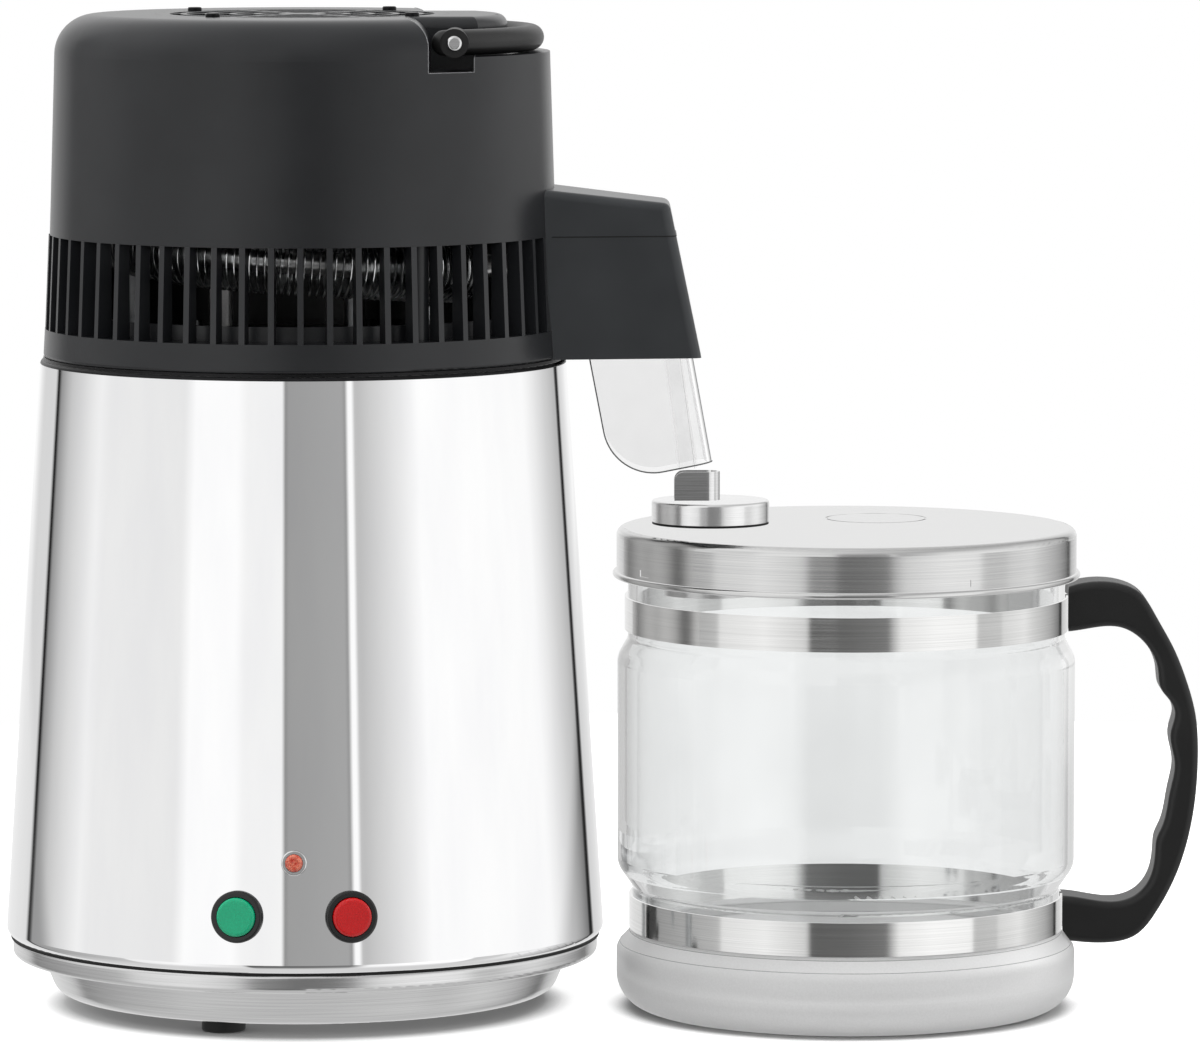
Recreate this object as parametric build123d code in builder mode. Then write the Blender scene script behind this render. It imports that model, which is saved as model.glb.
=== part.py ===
from build123d import *
import os
from math import acos, asin, atan2, ceil, cos, degrees, pi, radians, sin, sqrt

# Countertop water distiller: a steam boiler with a lift-off condenser head, and a glass
# carafe under the head's spout. Millimetres, +Z up, the spout points along +X and the
# control buttons face -Y. The origin is on the floor, midway along the whole set.

# Shared clearances
overrun = 2.0              # how far a cut runs past the face that it leaves
seat_gap = 0.1             # room between nested pieces that are fixed to each other
slide_gap = 0.3            # room between pieces that move past each other
running_gap = 0.05         # radial room of a shaft or pin in its bore

# Base pan and feet
foot_radius = 8.0
foot_height = 5.0
foot_inset = 16.0
foot_count = 3
first_foot_angle = -111.0
foot_edge_round = 1.0
foot_screw_radius = 2.0
foot_screw_head_radius = 4.0
foot_screw_head_height = 2.0
foot_screw_recess = 2.5
base_wall = 1.2
base_tier_flare = 6.0
base_corner_round = 6.0
base_tier_inset = 10.5
base_tier_height = 14.0
base_lip_inset = 2.5
base_lip_height = 6.5
base_lip_round = 2.0
base_seal_height = 1.0
base_seal_inset = 1.7
base_seal_width = 6.0

# Outer shell and boiling pot
shell_top_radius = 97.0
shell_flare = 14.0
shell_height = 213.5
shell_wall = 1.0
shell_hem_width = 9.0
shell_hem_round = 3.0
shell_top_round = 1.5
shell_top_lip_width = 6.5
pot_inset = 9.0
pot_wall = 1.0
pot_flange_inset = 1.0
pot_flange_thickness = 1.0

# Heater under the pot
heater_room_height = 56.8
heater_plate_inset = 28.0
heater_plate_thickness = 8.0
element_inset = 14.0
element_tube_radius = 4.0
element_sweep = 320.0
element_pin_radius = 2.5
element_pin_length = 12.0
thermostat_radius = 9.0
thermostat_height = 9.0
thermostat_flange_radius = 12.0
thermostat_flange_thickness = 1.5
heat_shield_inset = 12.0
heat_shield_thickness = 1.0
heat_shield_drop = 19.0
tie_rod_inset = 18.0
tie_rod_radius = 3.5
tie_rod_collar_radius = 5.5
tie_rod_count = 3
first_tie_rod_angle = 60.0

# Terminal block inside the base
block_length = 44.0
block_depth = 16.0
block_height = 14.0
block_inset = 18.0
block_screw_count = 4
block_screw_radius = 3.0
block_screw_depth = 5.0
block_screw_spacing = 10.0

# Start and stop buttons and the pilot lamp on the shell's front
button_offset = 20.4
button_height = 47.0
bezel_radius = 9.4
bezel_height = 2.2
bezel_round = 0.9
switch_barrel_radius = 8.0
switch_barrel_length = 18.0
switch_back_thickness = 3.0
switch_wall = 0.7
cap_proud = 4.0
cap_length = 9.0
cap_round = 1.2
cap_wall = 1.6
cap_face_thickness = 3.0
nut_radius = 11.0
nut_thickness = 3.0
nut_setback = 0.9
lamp_height = 66.5
lamp_bezel_radius = 4.6
lamp_bezel_height = 1.3
lamp_bezel_round = 0.5
lamp_barrel_radius = 3.9
lamp_barrel_length = 13.0
lamp_wall = 0.6
lens_length = 9.0
lens_proud = 1.2
lens_round = 1.4

# Mains inlet and fan outlet on the shell's back
inlet_height = 52.0
inlet_proud = 1.672
inlet_width = 50.0
inlet_rise = 28.0
inlet_corner_round = 3.0
inlet_flange_thickness = 9.0
inlet_body_width = 29.0
inlet_body_rise = 22.0
inlet_body_depth = 20.0
inlet_mouth_width = 24.4
inlet_mouth_rise = 16.8
inlet_mouth_corner = 4.0
inlet_mouth_depth = 16.0
inlet_pin_spacing = 7.0
inlet_pin_width = 2.0
inlet_pin_rise = 4.0
inlet_pin_length = 12.0
inlet_earth_offset = 4.0
inlet_live_offset = -2.0
outlet_height = 92.0
outlet_width = 32.0
outlet_rise = 22.0
outlet_depth = 16.0
outlet_proud = 2.0
outlet_slot_spacing = 12.7
outlet_slot_width = 3.0
outlet_slot_rise = 8.0
outlet_slot_depth = 11.0

# Vent ring, the lower half of the head
skirt_inset = 1.1
skirt_height = 10.5
skirt_draft = 0.6
skirt_wall = 3.4
skirt_round = 1.2
shelf_thickness = 2.5
shelf_inset = 15.9
shelf_lip_height = 5.5
shelf_lip_wall = 2.5
back_wall_angle = 18.0
vent_height = 34.5
vent_ring_wall = 2.0
vent_ring_rise = 5.0
slat_count = 56
first_slat_angle = -88.5
slat_width = 2.2
slat_depth = 6.5
slat_draft = 1.6
arm_gap_angle = 17.0
post_inset = 9.9
post_radius = 4.2
post_count = 4
first_post_angle = -59.4
post_screw_radius = 1.5
post_screw_head_radius = 2.6
post_screw_head_height = 2.2
post_screw_grip = 10.0
socket_radius = 5.2
socket_length = 14.0

# Dome, the upper half of the head
dome_inset = 2.6
dome_taper = 2.5
dome_height = 81.0
dome_wall = 2.5
dome_shoulder = 15.0
boss_inset = 18.8
boss_radius = 5.0
boss_length = 25.0
guard_inset = 36.8
guard_ledge_width = 4.0
guard_ledge_thickness = 2.2
guard_thickness = 2.5
guard_rim_width = 5.2
guard_ring_width = 2.4
guard_ring_count = 4
guard_spoke_width = 3.0
guard_spoke_count = 6
guard_hub_radius = 9.0
guard_screw_count = 4
guard_screw_radius = 1.2
guard_screw_head_radius = 2.6
guard_screw_head_height = 1.4
guard_screw_head_round = 0.6
guard_screw_inset = 2.5
first_guard_screw_angle = 53.0
gland_rise = 14.0
gland_radius = 6.0
gland_flange_radius = 8.5
gland_flange_thickness = 2.5
gland_length = 11.0
gland_round = 1.0
gland_bore_radius = 3.2

# Arm that carries the spout
arm_root_depth = 15.9
arm_root_half_width = 27.0
arm_tip_half_width = 17.5
arm_end_lean = 9.3
arm_tip_overhang = 5.0
arm_wall = 2.5
arm_nose_round = 4.0
upright_share = 0.9
arm_top_root_height = 18.4
arm_top_tip_height = 12.0
arm_top_round = 3.2
shield_half_width = 13.0
shield_wall = 1.6
shield_nose_round = 6.0
shield_corner_round = 18.6
shield_tuck = 5.0
shield_flange_height = 3.0
shield_left_inset = 41.2
shield_corner_inset = 32.4
shield_corner_drop = 45.9
shield_right_inset = 3.0
shield_right_overhang = 4.0
shield_right_drop = 38.7

# Folding carry handle in the dome's rim
bail_inset = 6.5
bail_bar_radius = 4.7
bail_drop = 8.6
bail_pivot_setback = 27.1
bail_end_setback = 3.6
bail_eye_radius = 5.2
bail_eye_overhang = 6.3
pivot_screw_radius = 2.0
pivot_screw_head_radius = 2.8
pivot_screw_head_height = 2.0
pivot_screw_head_round = 1.0
pivot_screw_slot_length = 3.8
pivot_screw_slot_width = 1.1
pivot_screw_slot_depth = 0.9
pivot_boss_radius = 3.6
pivot_boss_length = 11.0
pivot_screw_grip = 2.5
core_inset = 15.3
core_edge_round = 4.0
core_flat_inset = 37.5
recess_setback = 9.2
recess_flare = 8.0
recess_flare_drop = 10.0
ledge_gap = 0.4
notch_overhang = 7.1
notch_depth = 5.4

# Chamber lid, condenser and fan inside the head
chamber_lid_gap = 0.7
chamber_lid_thickness = 1.0
chamber_gasket_width = 6.0
chamber_gasket_height = 4.0
lid_screw_inset = 9.5
lid_screw_count = 4
first_lid_screw_angle = -15.0
lid_screw_boss_radius = 3.5
lid_screw_radius = 1.4
lid_screw_head_radius = 2.6
lid_screw_head_height = 1.8
lid_screw_grip = 5.0
coil_inset = 14.0
coil_tube_radius = 4.2
coil_tube_wall = 0.6
coil_top_rise = 21.0
coil_drop = 32.0
coil_start_angle = -90.0
coil_end_angle = 330.0
coil_entry_radius = 30.0
coil_riser_bend = 28.0
coil_entry_lap = 1.0
coil_segments = 6
fin_radius = 12.5
fin_thickness = 0.6
fin_count = 72
fin_hole_gap = 0.1
coil_post_radius = 4.0
coil_post_angles = (75.0, 195.0, 315.0)
outlet_tube_radius = 3.5
outlet_tube_wall = 0.8
outlet_lean = 9.9
outlet_bend_radius = 18.0
outlet_tip_inset = 8.6
outlet_lap = 2.5
motor_radius = 24.0
motor_height = 18.0
motor_round = 2.0
motor_cover = 1.0
rotor_radius = 15.0
rotor_gap = 1.0
bearing_radius = 6.0
bearing_height = 5.0
bracket_width = 24.0
bracket_thickness = 1.5
bracket_overhang = 7.0
bracket_hole_radius = 8.0
motor_screw_radius = 1.5
motor_screw_head_radius = 2.6
motor_screw_head_height = 2.0
motor_screw_length = 6.0
motor_screw_spread = 16.0
shaft_radius = 3.0
impeller_drop = 11.5
hub_radius = 12.0
hub_height = 9.0
blade_count = 5
blade_inset = 9.0
blade_root_chord = 15.0
blade_chord = 26.0
blade_thickness = 1.6
blade_pitch = 26.0
blade_tip_round = 8.0

# Carafe
vessel_gap = 4.7
spout_room_height = 67.8
boiler_to_carafe_offset = -12.0
jar_foot_radius = 84.8
jar_foot_round = 13.0
jar_foot_height = 23.0
jar_foot_shoulder = 6.5
jar_foot_shoulder_round = 5.0
jar_waist_inset = 5.8
jar_waist_height = 16.0
jar_waist_round = 3.5
jar_belly_inset = 0.3
jar_belly_rise = 8.0
jar_belly_round = 8.0
jar_shoulder_rise = 7.0
jar_neck_inset = 4.2
jar_neck_height = 35.5
jar_wall = 3.5
jar_floor = 10.0
jar_floor_round = 8.0
jar_rim_round = 1.2
ramp_depth = 2.0
ramp_height = 2.5
ramp_below_rim = 8.5
ramp_sweep = 40.0
lug_count = 4
first_lug_angle = -62.0
band_gap = 0.4
band_thickness = 0.8
band_width = 12.4
upper_band_below_rim = 32.5
lower_band_above_waist = 0.4
band_tab_length = 16.0
band_tab_width = 7.0
band_tab_gap = 4.4
handle_half_width = 10.8
handle_edge_round = 2.5
handle_slot_gap = 0.4
band_screw_radius = 1.5
band_screw_head_radius = 3.0
band_screw_head_height = 2.0
band_screw_inset = 5.0
band_screw_seat = 6.8
handle_thumb_length = 12.0
handle_thumb_width = 6.5
handle_thumb_depth = 1.2

# Carafe handle's outline, as reach from the jar's axis and height, both in handle sizes
handle_stand = 45.2
handle_over_bands = 22.0
handle_pattern_rise = 131.0
handle_below_band = 5.2
handle_grip_shares = (0.3, 0.7)
handle_outer_reach_shares = (0.595, 0.793, 0.827, 0.877, 0.930, 0.965, 0.992, 1.0, 0.983, 0.957,
                             0.929, 0.884, 0.826, 0.739, 0.595)
handle_outer_rise_shares = (0.980, 1.0, 0.983, 0.915, 0.820, 0.733, 0.637, 0.524, 0.341, 0.240, 0.169, 0.088,
                            0.022, 0.0, 0.012)
handle_inner_reach_shares = (0.595, 0.635, 0.786, 0.830, 0.862, 0.879, 0.884, 0.897, 0.920, 0.933,
                             0.921, 0.933, 0.915, 0.893, 0.884, 0.867, 0.830, 0.784, 0.636, 0.595)
handle_inner_rise_shares = (0.133, 0.133, 0.121, 0.141, 0.180, 0.257, 0.299, 0.327, 0.425, 0.505,
                            0.586, 0.643, 0.679, 0.707, 0.761, 0.808, 0.853, 0.879, 0.870, 0.870)
thumb_reach_share = 0.852
thumb_rise_share = 0.949
handle_thumb_way_share = 0.816

# Carafe lid and charcoal filter
lid_overhang = 4.2
lid_height = 18.3
lid_wall = 1.0
lid_edge_round = 3.0
lid_rim_gap = 5.3
bead_proud = 1.4
bead_height = 2.2
bead_round = 0.9
lug_depth = 2.4
lug_height = 2.0
lug_lift = 1.0
lug_sweep = 7.0
dent_width = 6.5
dent_height = 2.4
dent_depth = 0.5
emboss_radius = 19.0
emboss_line = 0.8
emboss_depth = 0.3
emboss_reach = 12.0
emboss_setback = 32.0
lid_gasket_width = 6.0
gasket_round = 2.0
filter_inset = 34.8
filter_setback = 12.0
filter_hole_radius = 18.2
basket_radius = 17.8
basket_wall = 1.0
basket_depth = 27.0
basket_flange_radius = 20.6
basket_flange_thickness = 0.8
basket_hole_radius = 1.2
basket_hole_circle_radius = 9.0
basket_hole_count = 8
filter_seal_height = 0.8
filter_cap_radius = 21.8
filter_cap_height = 8.0
filter_cap_round = 1.0
filter_cap_wall = 1.2
filter_cap_step = 0.2
filter_inlet_radius = 3.6
pod_height = 20.0
pod_round = 3.0
guide_length = 16.9
guide_width = 10.0
guide_height = 10.6
guide_thickness = 1.0
guide_corner_round = 3.5
guide_offset = -4.95
guide_tip_gap = 0.7

# Levels and places worked out from the sizes above
base_level = foot_height
base_step_level = base_level + base_tier_height
base_lip_level = base_step_level + base_lip_height
shell_bottom_level = base_lip_level + base_seal_height
shell_top_level = shell_bottom_level + shell_height
head_level = shell_top_level + pot_flange_thickness
base_inner_level = base_level + base_wall
pot_bottom_level = base_inner_level + heater_room_height
heater_bottom_level = pot_bottom_level - heater_plate_thickness
element_level = heater_bottom_level - element_tube_radius - seat_gap
shield_plate_level = heater_bottom_level - heat_shield_drop
skirt_top_level = head_level + skirt_height
shelf_level = skirt_top_level - shelf_thickness
parting_level = skirt_top_level + vent_height
dome_top_level = parting_level + dome_height
dome_inner_top_level = dome_top_level - dome_wall
bracket_top_level = dome_inner_top_level - boss_length
bracket_level = bracket_top_level - bracket_thickness
impeller_level = bracket_top_level - impeller_drop
bail_level = dome_top_level - bail_drop
ledge_level = bail_level - bail_bar_radius - ledge_gap
chamber_lid_level = head_level + chamber_gasket_height
chamber_lid_top = chamber_lid_level + chamber_lid_thickness
coil_top_level = parting_level + coil_top_rise
coil_bottom_level = coil_top_level - coil_drop
coil_sweep = coil_end_angle - coil_start_angle
socket_level = parting_level + vent_ring_rise + slide_gap
jar_waist_low = jar_foot_height + jar_foot_shoulder
jar_waist_high = jar_waist_low + jar_waist_height
jar_belly_low = jar_waist_high + jar_belly_rise
jar_rim_level = head_level - spout_room_height
jar_neck_low = jar_rim_level - jar_neck_height
jar_belly_high = jar_neck_low - jar_shoulder_rise
upper_band_level = jar_rim_level - upper_band_below_rim
lower_band_level = jar_waist_low + lower_band_above_waist
handle_rise = upper_band_level - lower_band_level + handle_over_bands
handle_bottom = lower_band_level - handle_below_band
filter_stack_height = filter_seal_height + filter_cap_height

# Radii and reaches, each from the piece that carries it
shell_bottom_radius = shell_top_radius + shell_flare
base_lip_radius = shell_bottom_radius - base_lip_inset
base_seal_radius = shell_bottom_radius - base_seal_inset
base_tier_radius = base_lip_radius - base_tier_inset
base_floor_radius = base_tier_radius - base_tier_flare
foot_circle_radius = base_floor_radius - foot_inset
pot_radius = shell_top_radius - pot_inset
pot_flange_radius = shell_top_radius - pot_flange_inset
heater_plate_radius = pot_radius - heater_plate_inset
element_ring_radius = heater_plate_radius - element_inset
heat_shield_radius = pot_radius - heat_shield_inset
tie_rod_circle_radius = pot_radius - tie_rod_inset
block_setback = tie_rod_circle_radius - block_inset
skirt_radius = shell_top_radius - skirt_inset
shelf_radius = skirt_radius - shelf_inset
post_circle_radius = skirt_radius - post_inset
dome_bottom_radius = skirt_radius - dome_inset
dome_top_radius = dome_bottom_radius - dome_taper
boss_circle_radius = dome_top_radius - boss_inset
blade_reach = boss_circle_radius - blade_inset
guard_radius = dome_top_radius - guard_inset
guard_screw_circle_radius = guard_radius - guard_screw_inset
bail_radius = dome_top_radius - bail_inset
bail_pivot_reach = bail_radius - bail_pivot_setback
bail_end_reach = bail_pivot_reach - bail_end_setback
core_radius = dome_top_radius - core_inset
core_flat = core_radius - core_flat_inset
recess_reach = bail_pivot_reach - recess_setback
notch_right_reach = bail_pivot_reach + notch_overhang
chamber_lid_radius = skirt_radius - skirt_wall - chamber_lid_gap
lid_screw_circle_radius = chamber_lid_radius - lid_screw_inset
coil_radius = shelf_radius - coil_inset
jar_waist_radius = jar_foot_radius - jar_waist_inset
jar_belly_radius = jar_foot_radius - jar_belly_inset
jar_neck_radius = jar_foot_radius - jar_neck_inset
lid_radius = jar_neck_radius + lid_overhang
bead_radius = lid_radius + bead_proud
handle_reach = jar_belly_radius + handle_stand
boiler_to_carafe_reach = shell_bottom_radius + vessel_gap + jar_foot_radius
filter_reach = filter_inset - lid_radius
outlet_tip_reach = boiler_to_carafe_reach + filter_reach - outlet_tip_inset
outlet_bend_reach = outlet_tip_reach - outlet_lean
arm_root_reach = skirt_radius - arm_root_depth
arm_bottom_reach = outlet_tip_reach + arm_tip_overhang
arm_parting_reach = arm_bottom_reach - arm_end_lean
shield_left_reach = arm_bottom_reach - shield_left_inset
shield_corner_reach = arm_bottom_reach - shield_corner_inset
shield_right_top_reach = arm_bottom_reach - shield_right_inset
shield_right_bottom_reach = arm_bottom_reach + shield_right_overhang

overall_length = shell_bottom_radius + boiler_to_carafe_reach + handle_reach
boiler_x = shell_bottom_radius - overall_length / 2
carafe_x = boiler_x + boiler_to_carafe_reach
carafe_y = boiler_to_carafe_offset
shell_lean = degrees(atan2(shell_bottom_radius - shell_top_radius, shell_height))

boiler_axis = Axis((boiler_x, 0, 0), (0, 0, 1))
boiler_side = Plane((boiler_x, 0, 0), x_dir=(1, 0, 0), z_dir=(0, -1, 0))
carafe_axis = Axis((carafe_x, carafe_y, 0), (0, 0, 1))
carafe_side = Plane((carafe_x, carafe_y, 0), x_dir=(1, 0, 0), z_dir=(0, -1, 0))

os.makedirs("parts", exist_ok=True)


def outline(plane, corners):
    # A closed outline from corners given as across, up and the corner's rounding
    with BuildSketch(plane) as sketch:
        with BuildLine():
            Polyline(*[(across, up) for across, up, _ in corners], close=True)
        make_face()
        for across, up, rounding in corners:
            if rounding:
                fillet(sketch.vertices().sort_by_distance((across, up))[0], rounding)
    return sketch.sketch


def ring_outline(plane, inner, outer, low, high):
    return outline(plane, [(inner, low, 0), (outer, low, 0), (outer, high, 0), (inner, high, 0)])


def floor_plan(level):
    # A level plane centred on the boiler
    return Plane((boiler_x, 0, level))


def carafe_plan(level):
    # A level plane centred on the carafe
    return Plane((carafe_x, carafe_y, level))


def radial_plane(angle, level=0, centre_x=boiler_x, centre_y=0):
    # An upright plane whose first axis points outwards at the angle
    out = (cos(radians(angle)), sin(radians(angle)), 0)
    return Plane((centre_x, centre_y, level), x_dir=out, z_dir=(out[1], -out[0], 0))


def around(radius, count, first_angle, level, centre_x=boiler_x, centre_y=0):
    # Level planes evenly spaced on a circle
    angles = [radians(first_angle + 360 * index / count) for index in range(count)]
    return [Plane((centre_x + radius * cos(a), centre_y + radius * sin(a), level)) for a in angles]


def shell_radius(level):
    share = (level - shell_bottom_level) / shell_height
    return shell_bottom_radius + share * (shell_top_radius - shell_bottom_radius)


def panel_plane(offset, level):
    # A plane on the shell's front, its third axis straight out of the sloping steel
    reach = shell_radius(level)
    turn = asin(offset / reach)
    lean = radians(shell_lean)
    out = (sin(turn) * cos(lean), -cos(turn) * cos(lean), sin(lean))
    return Plane((boiler_x + offset, -reach * cos(turn), level), x_dir=(cos(turn), sin(turn), 0), z_dir=out)


def back_plane(reach, level):
    # A plane on the shell's back, its third axis straight out
    return Plane((boiler_x, reach, level), x_dir=(-1, 0, 0), z_dir=(0, 1, 0))


def add_biarc(start, start_way, end, end_way):
    # Two tangent arcs from one point and direction to another
    chord = end - start
    spread = 2 * (1 - start_way.dot(end_way))
    lean = chord.dot(start_way + end_way)
    reach = (sqrt(lean ** 2 + spread * chord.dot(chord)) - lean) / spread
    first = start + start_way * reach
    second = end - end_way * reach
    joint = (first + second) * 0.5
    TangentArc(start, joint, tangent=start_way)
    TangentArc(joint, end, tangent=second - first)


def helix_point(centre, radius, angle, height):
    return centre + Vector(radius * cos(radians(angle)), radius * sin(radians(angle)), height)


def helix_way(radius, angle, climb_per_degree):
    # The direction along a helix, for turns that go anticlockwise seen from above
    step = radians(1) * radius
    way = Vector(-sin(radians(angle)) * step, cos(radians(angle)) * step, climb_per_degree)
    return way.normalized()


start_panel = panel_plane(-button_offset, button_height)
stop_panel = panel_plane(button_offset, button_height)
lamp_panel = panel_plane(0, lamp_height)
inlet_plane = back_plane(shell_radius(inlet_height) + inlet_proud, inlet_height)
outlet_plane = back_plane(shell_radius(outlet_height) + outlet_proud, outlet_height)
foot_planes = around(foot_circle_radius, foot_count, first_foot_angle, base_level)
tie_rod_planes = around(tie_rod_circle_radius, tie_rod_count, first_tie_rod_angle, base_inner_level)


# Base pan, pressed from sheet
with BuildPart() as base_pan:
    revolve(outline(boiler_side, [
        (0, base_level, 0),
        (base_floor_radius, base_level, base_corner_round),
        (base_tier_radius, base_step_level, 0),
        (base_lip_radius, base_step_level, base_lip_round),
        (base_lip_radius, base_lip_level, base_lip_round / 2),
        (0, base_lip_level, 0)]), axis=boiler_axis)
    revolve(outline(boiler_side, [
        (0, base_inner_level, 0),
        (base_floor_radius - base_wall, base_inner_level, base_corner_round - base_wall),
        (base_tier_radius - base_wall, base_step_level + base_wall, 0),
        (base_lip_radius - base_seal_width, base_step_level + base_wall, 0),
        (base_lip_radius - base_seal_width, base_lip_level + overrun, 0),
        (0, base_lip_level + overrun, 0)]), axis=boiler_axis, mode=Mode.SUBTRACT)
    with BuildSketch(*foot_planes):
        Circle(foot_screw_radius + seat_gap)
    extrude(amount=base_wall + overrun, both=True, mode=Mode.SUBTRACT)
base_pan.part.label = "base_pan"
export_step(base_pan.part, "parts/base_pan.step")

with BuildPart() as rubber_feet:
    with BuildSketch(*foot_planes):
        Circle(foot_radius)
    extrude(amount=-foot_height)
    fillet(rubber_feet.edges().group_by(Axis.Z)[0], foot_edge_round)
    with BuildSketch(*foot_planes):
        Circle(foot_screw_radius + seat_gap)
    extrude(amount=-foot_height - overrun, mode=Mode.SUBTRACT)
    with BuildSketch(*[plane.offset(-foot_height) for plane in foot_planes]):
        Circle(foot_screw_head_radius + seat_gap)
    extrude(amount=foot_screw_recess, mode=Mode.SUBTRACT)
rubber_feet.part.label = "rubber_feet"
export_step(rubber_feet.part, "parts/rubber_feet.step")

with BuildPart() as foot_screws:
    with BuildSketch(*[plane.offset(foot_screw_recess - foot_height) for plane in foot_planes]):
        Circle(foot_screw_head_radius)
    extrude(amount=-foot_screw_head_height)
    with BuildSketch(*[plane.offset(foot_screw_recess - foot_height) for plane in foot_planes]):
        Circle(foot_screw_radius)
    extrude(amount=foot_height - foot_screw_recess + base_wall + foot_screw_head_height)
foot_screws.part.label = "foot_screws"
export_step(foot_screws.part, "parts/foot_screws.step")

with BuildPart() as base_seal:
    revolve(ring_outline(boiler_side, base_seal_radius - base_seal_width, base_seal_radius,
                         base_lip_level, shell_bottom_level), axis=boiler_axis)
base_seal.part.label = "base_seal"
export_step(base_seal.part, "parts/base_seal.step")

# Outer shell, a polished cone with a rolled hem and holes for the controls and sockets
with BuildPart() as outer_shell:
    inner_lean_wall = shell_wall / cos(radians(shell_lean))
    revolve(outline(boiler_side, [
        (shell_bottom_radius, shell_bottom_level, shell_hem_round),
        (shell_top_radius, shell_top_level, shell_top_round),
        (shell_top_radius - shell_top_lip_width, shell_top_level, 0),
        (shell_top_radius - shell_top_lip_width, shell_top_level - shell_wall, 0),
        (shell_top_radius - inner_lean_wall, shell_top_level - shell_wall, shell_top_round - shell_wall),
        (shell_bottom_radius - inner_lean_wall, shell_bottom_level + shell_wall,
         shell_hem_round - shell_wall),
        (shell_bottom_radius - shell_hem_width, shell_bottom_level + shell_wall, 0),
        (shell_bottom_radius - shell_hem_width, shell_bottom_level, 0)]), axis=boiler_axis)
    with BuildSketch(start_panel, stop_panel):
        Circle(switch_barrel_radius + seat_gap)
    extrude(amount=shell_wall + overrun, both=True, mode=Mode.SUBTRACT)
    with BuildSketch(lamp_panel):
        Circle(lamp_barrel_radius + seat_gap)
    extrude(amount=shell_wall + overrun, both=True, mode=Mode.SUBTRACT)
    with BuildSketch(inlet_plane):
        RectangleRounded(inlet_width + 2 * seat_gap, inlet_rise + 2 * seat_gap, inlet_corner_round)
    extrude(amount=inlet_body_depth, both=True, mode=Mode.SUBTRACT)
    with BuildSketch(outlet_plane):
        RectangleRounded(outlet_width + 2 * seat_gap, outlet_rise + 2 * seat_gap, inlet_corner_round)
    extrude(amount=outlet_depth, both=True, mode=Mode.SUBTRACT)
outer_shell.part.label = "outer_shell"
export_step(outer_shell.part, "parts/outer_shell.step")

# Boiling pot, welded up from a flat floor, a rolled wall and a rim that hangs on the shell
with BuildPart() as pot_floor:
    with BuildSketch(floor_plan(pot_bottom_level)):
        Circle(pot_radius)
    extrude(amount=pot_wall)
pot_floor.part.label = "pot_floor"
export_step(pot_floor.part, "parts/pot_floor.step")

with BuildPart() as boiling_pot:
    with BuildSketch(floor_plan(pot_bottom_level + pot_wall)):
        Circle(pot_radius)
        Circle(pot_radius - pot_wall, mode=Mode.SUBTRACT)
    extrude(amount=shell_top_level - pot_bottom_level - pot_wall)
boiling_pot.part.label = "boiling_pot"
export_step(boiling_pot.part, "parts/boiling_pot.step")

with BuildPart() as pot_rim:
    with BuildSketch(floor_plan(shell_top_level)):
        Circle(pot_flange_radius)
        Circle(pot_radius - pot_wall, mode=Mode.SUBTRACT)
    extrude(amount=pot_flange_thickness)
pot_rim.part.label = "pot_rim"
export_step(pot_rim.part, "parts/pot_rim.step")

# Heater and what holds the pot down
with BuildPart() as heater_plate:
    with BuildSketch(floor_plan(heater_bottom_level)):
        Circle(heater_plate_radius)
    extrude(amount=heater_plate_thickness)
heater_plate.part.label = "heater_plate"
export_step(heater_plate.part, "parts/heater_plate.step")

element_ends = (-element_sweep / 2, element_sweep / 2)
with BuildPart() as heating_element:
    with BuildSketch(radial_plane(element_ends[0], element_level)):
        with Locations((element_ring_radius, 0)):
            Circle(element_tube_radius)
    revolve(axis=boiler_axis, revolution_arc=element_sweep)
    for angle in element_ends:
        end_x = boiler_x + element_ring_radius * cos(radians(angle))
        end_y = element_ring_radius * sin(radians(angle))
        with Locations((end_x, end_y, element_level)):
            Sphere(element_tube_radius)
            Cylinder(element_pin_radius, element_pin_length, align=(Align.CENTER, Align.CENTER, Align.MAX))
heating_element.part.label = "heating_element"
export_step(heating_element.part, "parts/heating_element.step")

with BuildPart() as boil_dry_thermostat:
    with BuildSketch(floor_plan(heater_bottom_level)):
        Circle(thermostat_flange_radius)
    extrude(amount=-thermostat_flange_thickness)
    with BuildSketch(floor_plan(heater_bottom_level)):
        Circle(thermostat_radius)
    extrude(amount=-thermostat_height)
boil_dry_thermostat.part.label = "boil_dry_thermostat"
export_step(boil_dry_thermostat.part, "parts/boil_dry_thermostat.step")

with BuildPart() as heat_shield:
    with BuildSketch(floor_plan(shield_plate_level)):
        Circle(heat_shield_radius)
        with PolarLocations(tie_rod_circle_radius, tie_rod_count, first_tie_rod_angle):
            Circle(tie_rod_radius + seat_gap, mode=Mode.SUBTRACT)
    extrude(amount=heat_shield_thickness)
heat_shield.part.label = "heat_shield"
export_step(heat_shield.part, "parts/heat_shield.step")

with BuildPart() as tie_rods:
    with BuildSketch(*tie_rod_planes):
        Circle(tie_rod_collar_radius)
    extrude(amount=shield_plate_level - base_inner_level)
    with BuildSketch(*tie_rod_planes):
        Circle(tie_rod_radius)
    extrude(amount=pot_bottom_level - base_inner_level)
tie_rods.part.label = "tie_rods"
export_step(tie_rods.part, "parts/tie_rods.step")

# Terminal block inside the base
block_plane = Plane((boiler_x, block_setback, base_inner_level))
with BuildPart() as terminal_block:
    with BuildSketch(block_plane):
        Rectangle(block_length, block_depth)
    extrude(amount=block_height)
    with BuildSketch(block_plane.offset(block_height)):
        with GridLocations(block_screw_spacing, 0, block_screw_count, 1):
            Circle(block_screw_radius)
    extrude(amount=-block_screw_depth, mode=Mode.SUBTRACT)
terminal_block.part.label = "terminal_block"
export_step(terminal_block.part, "parts/terminal_block.step")


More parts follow.
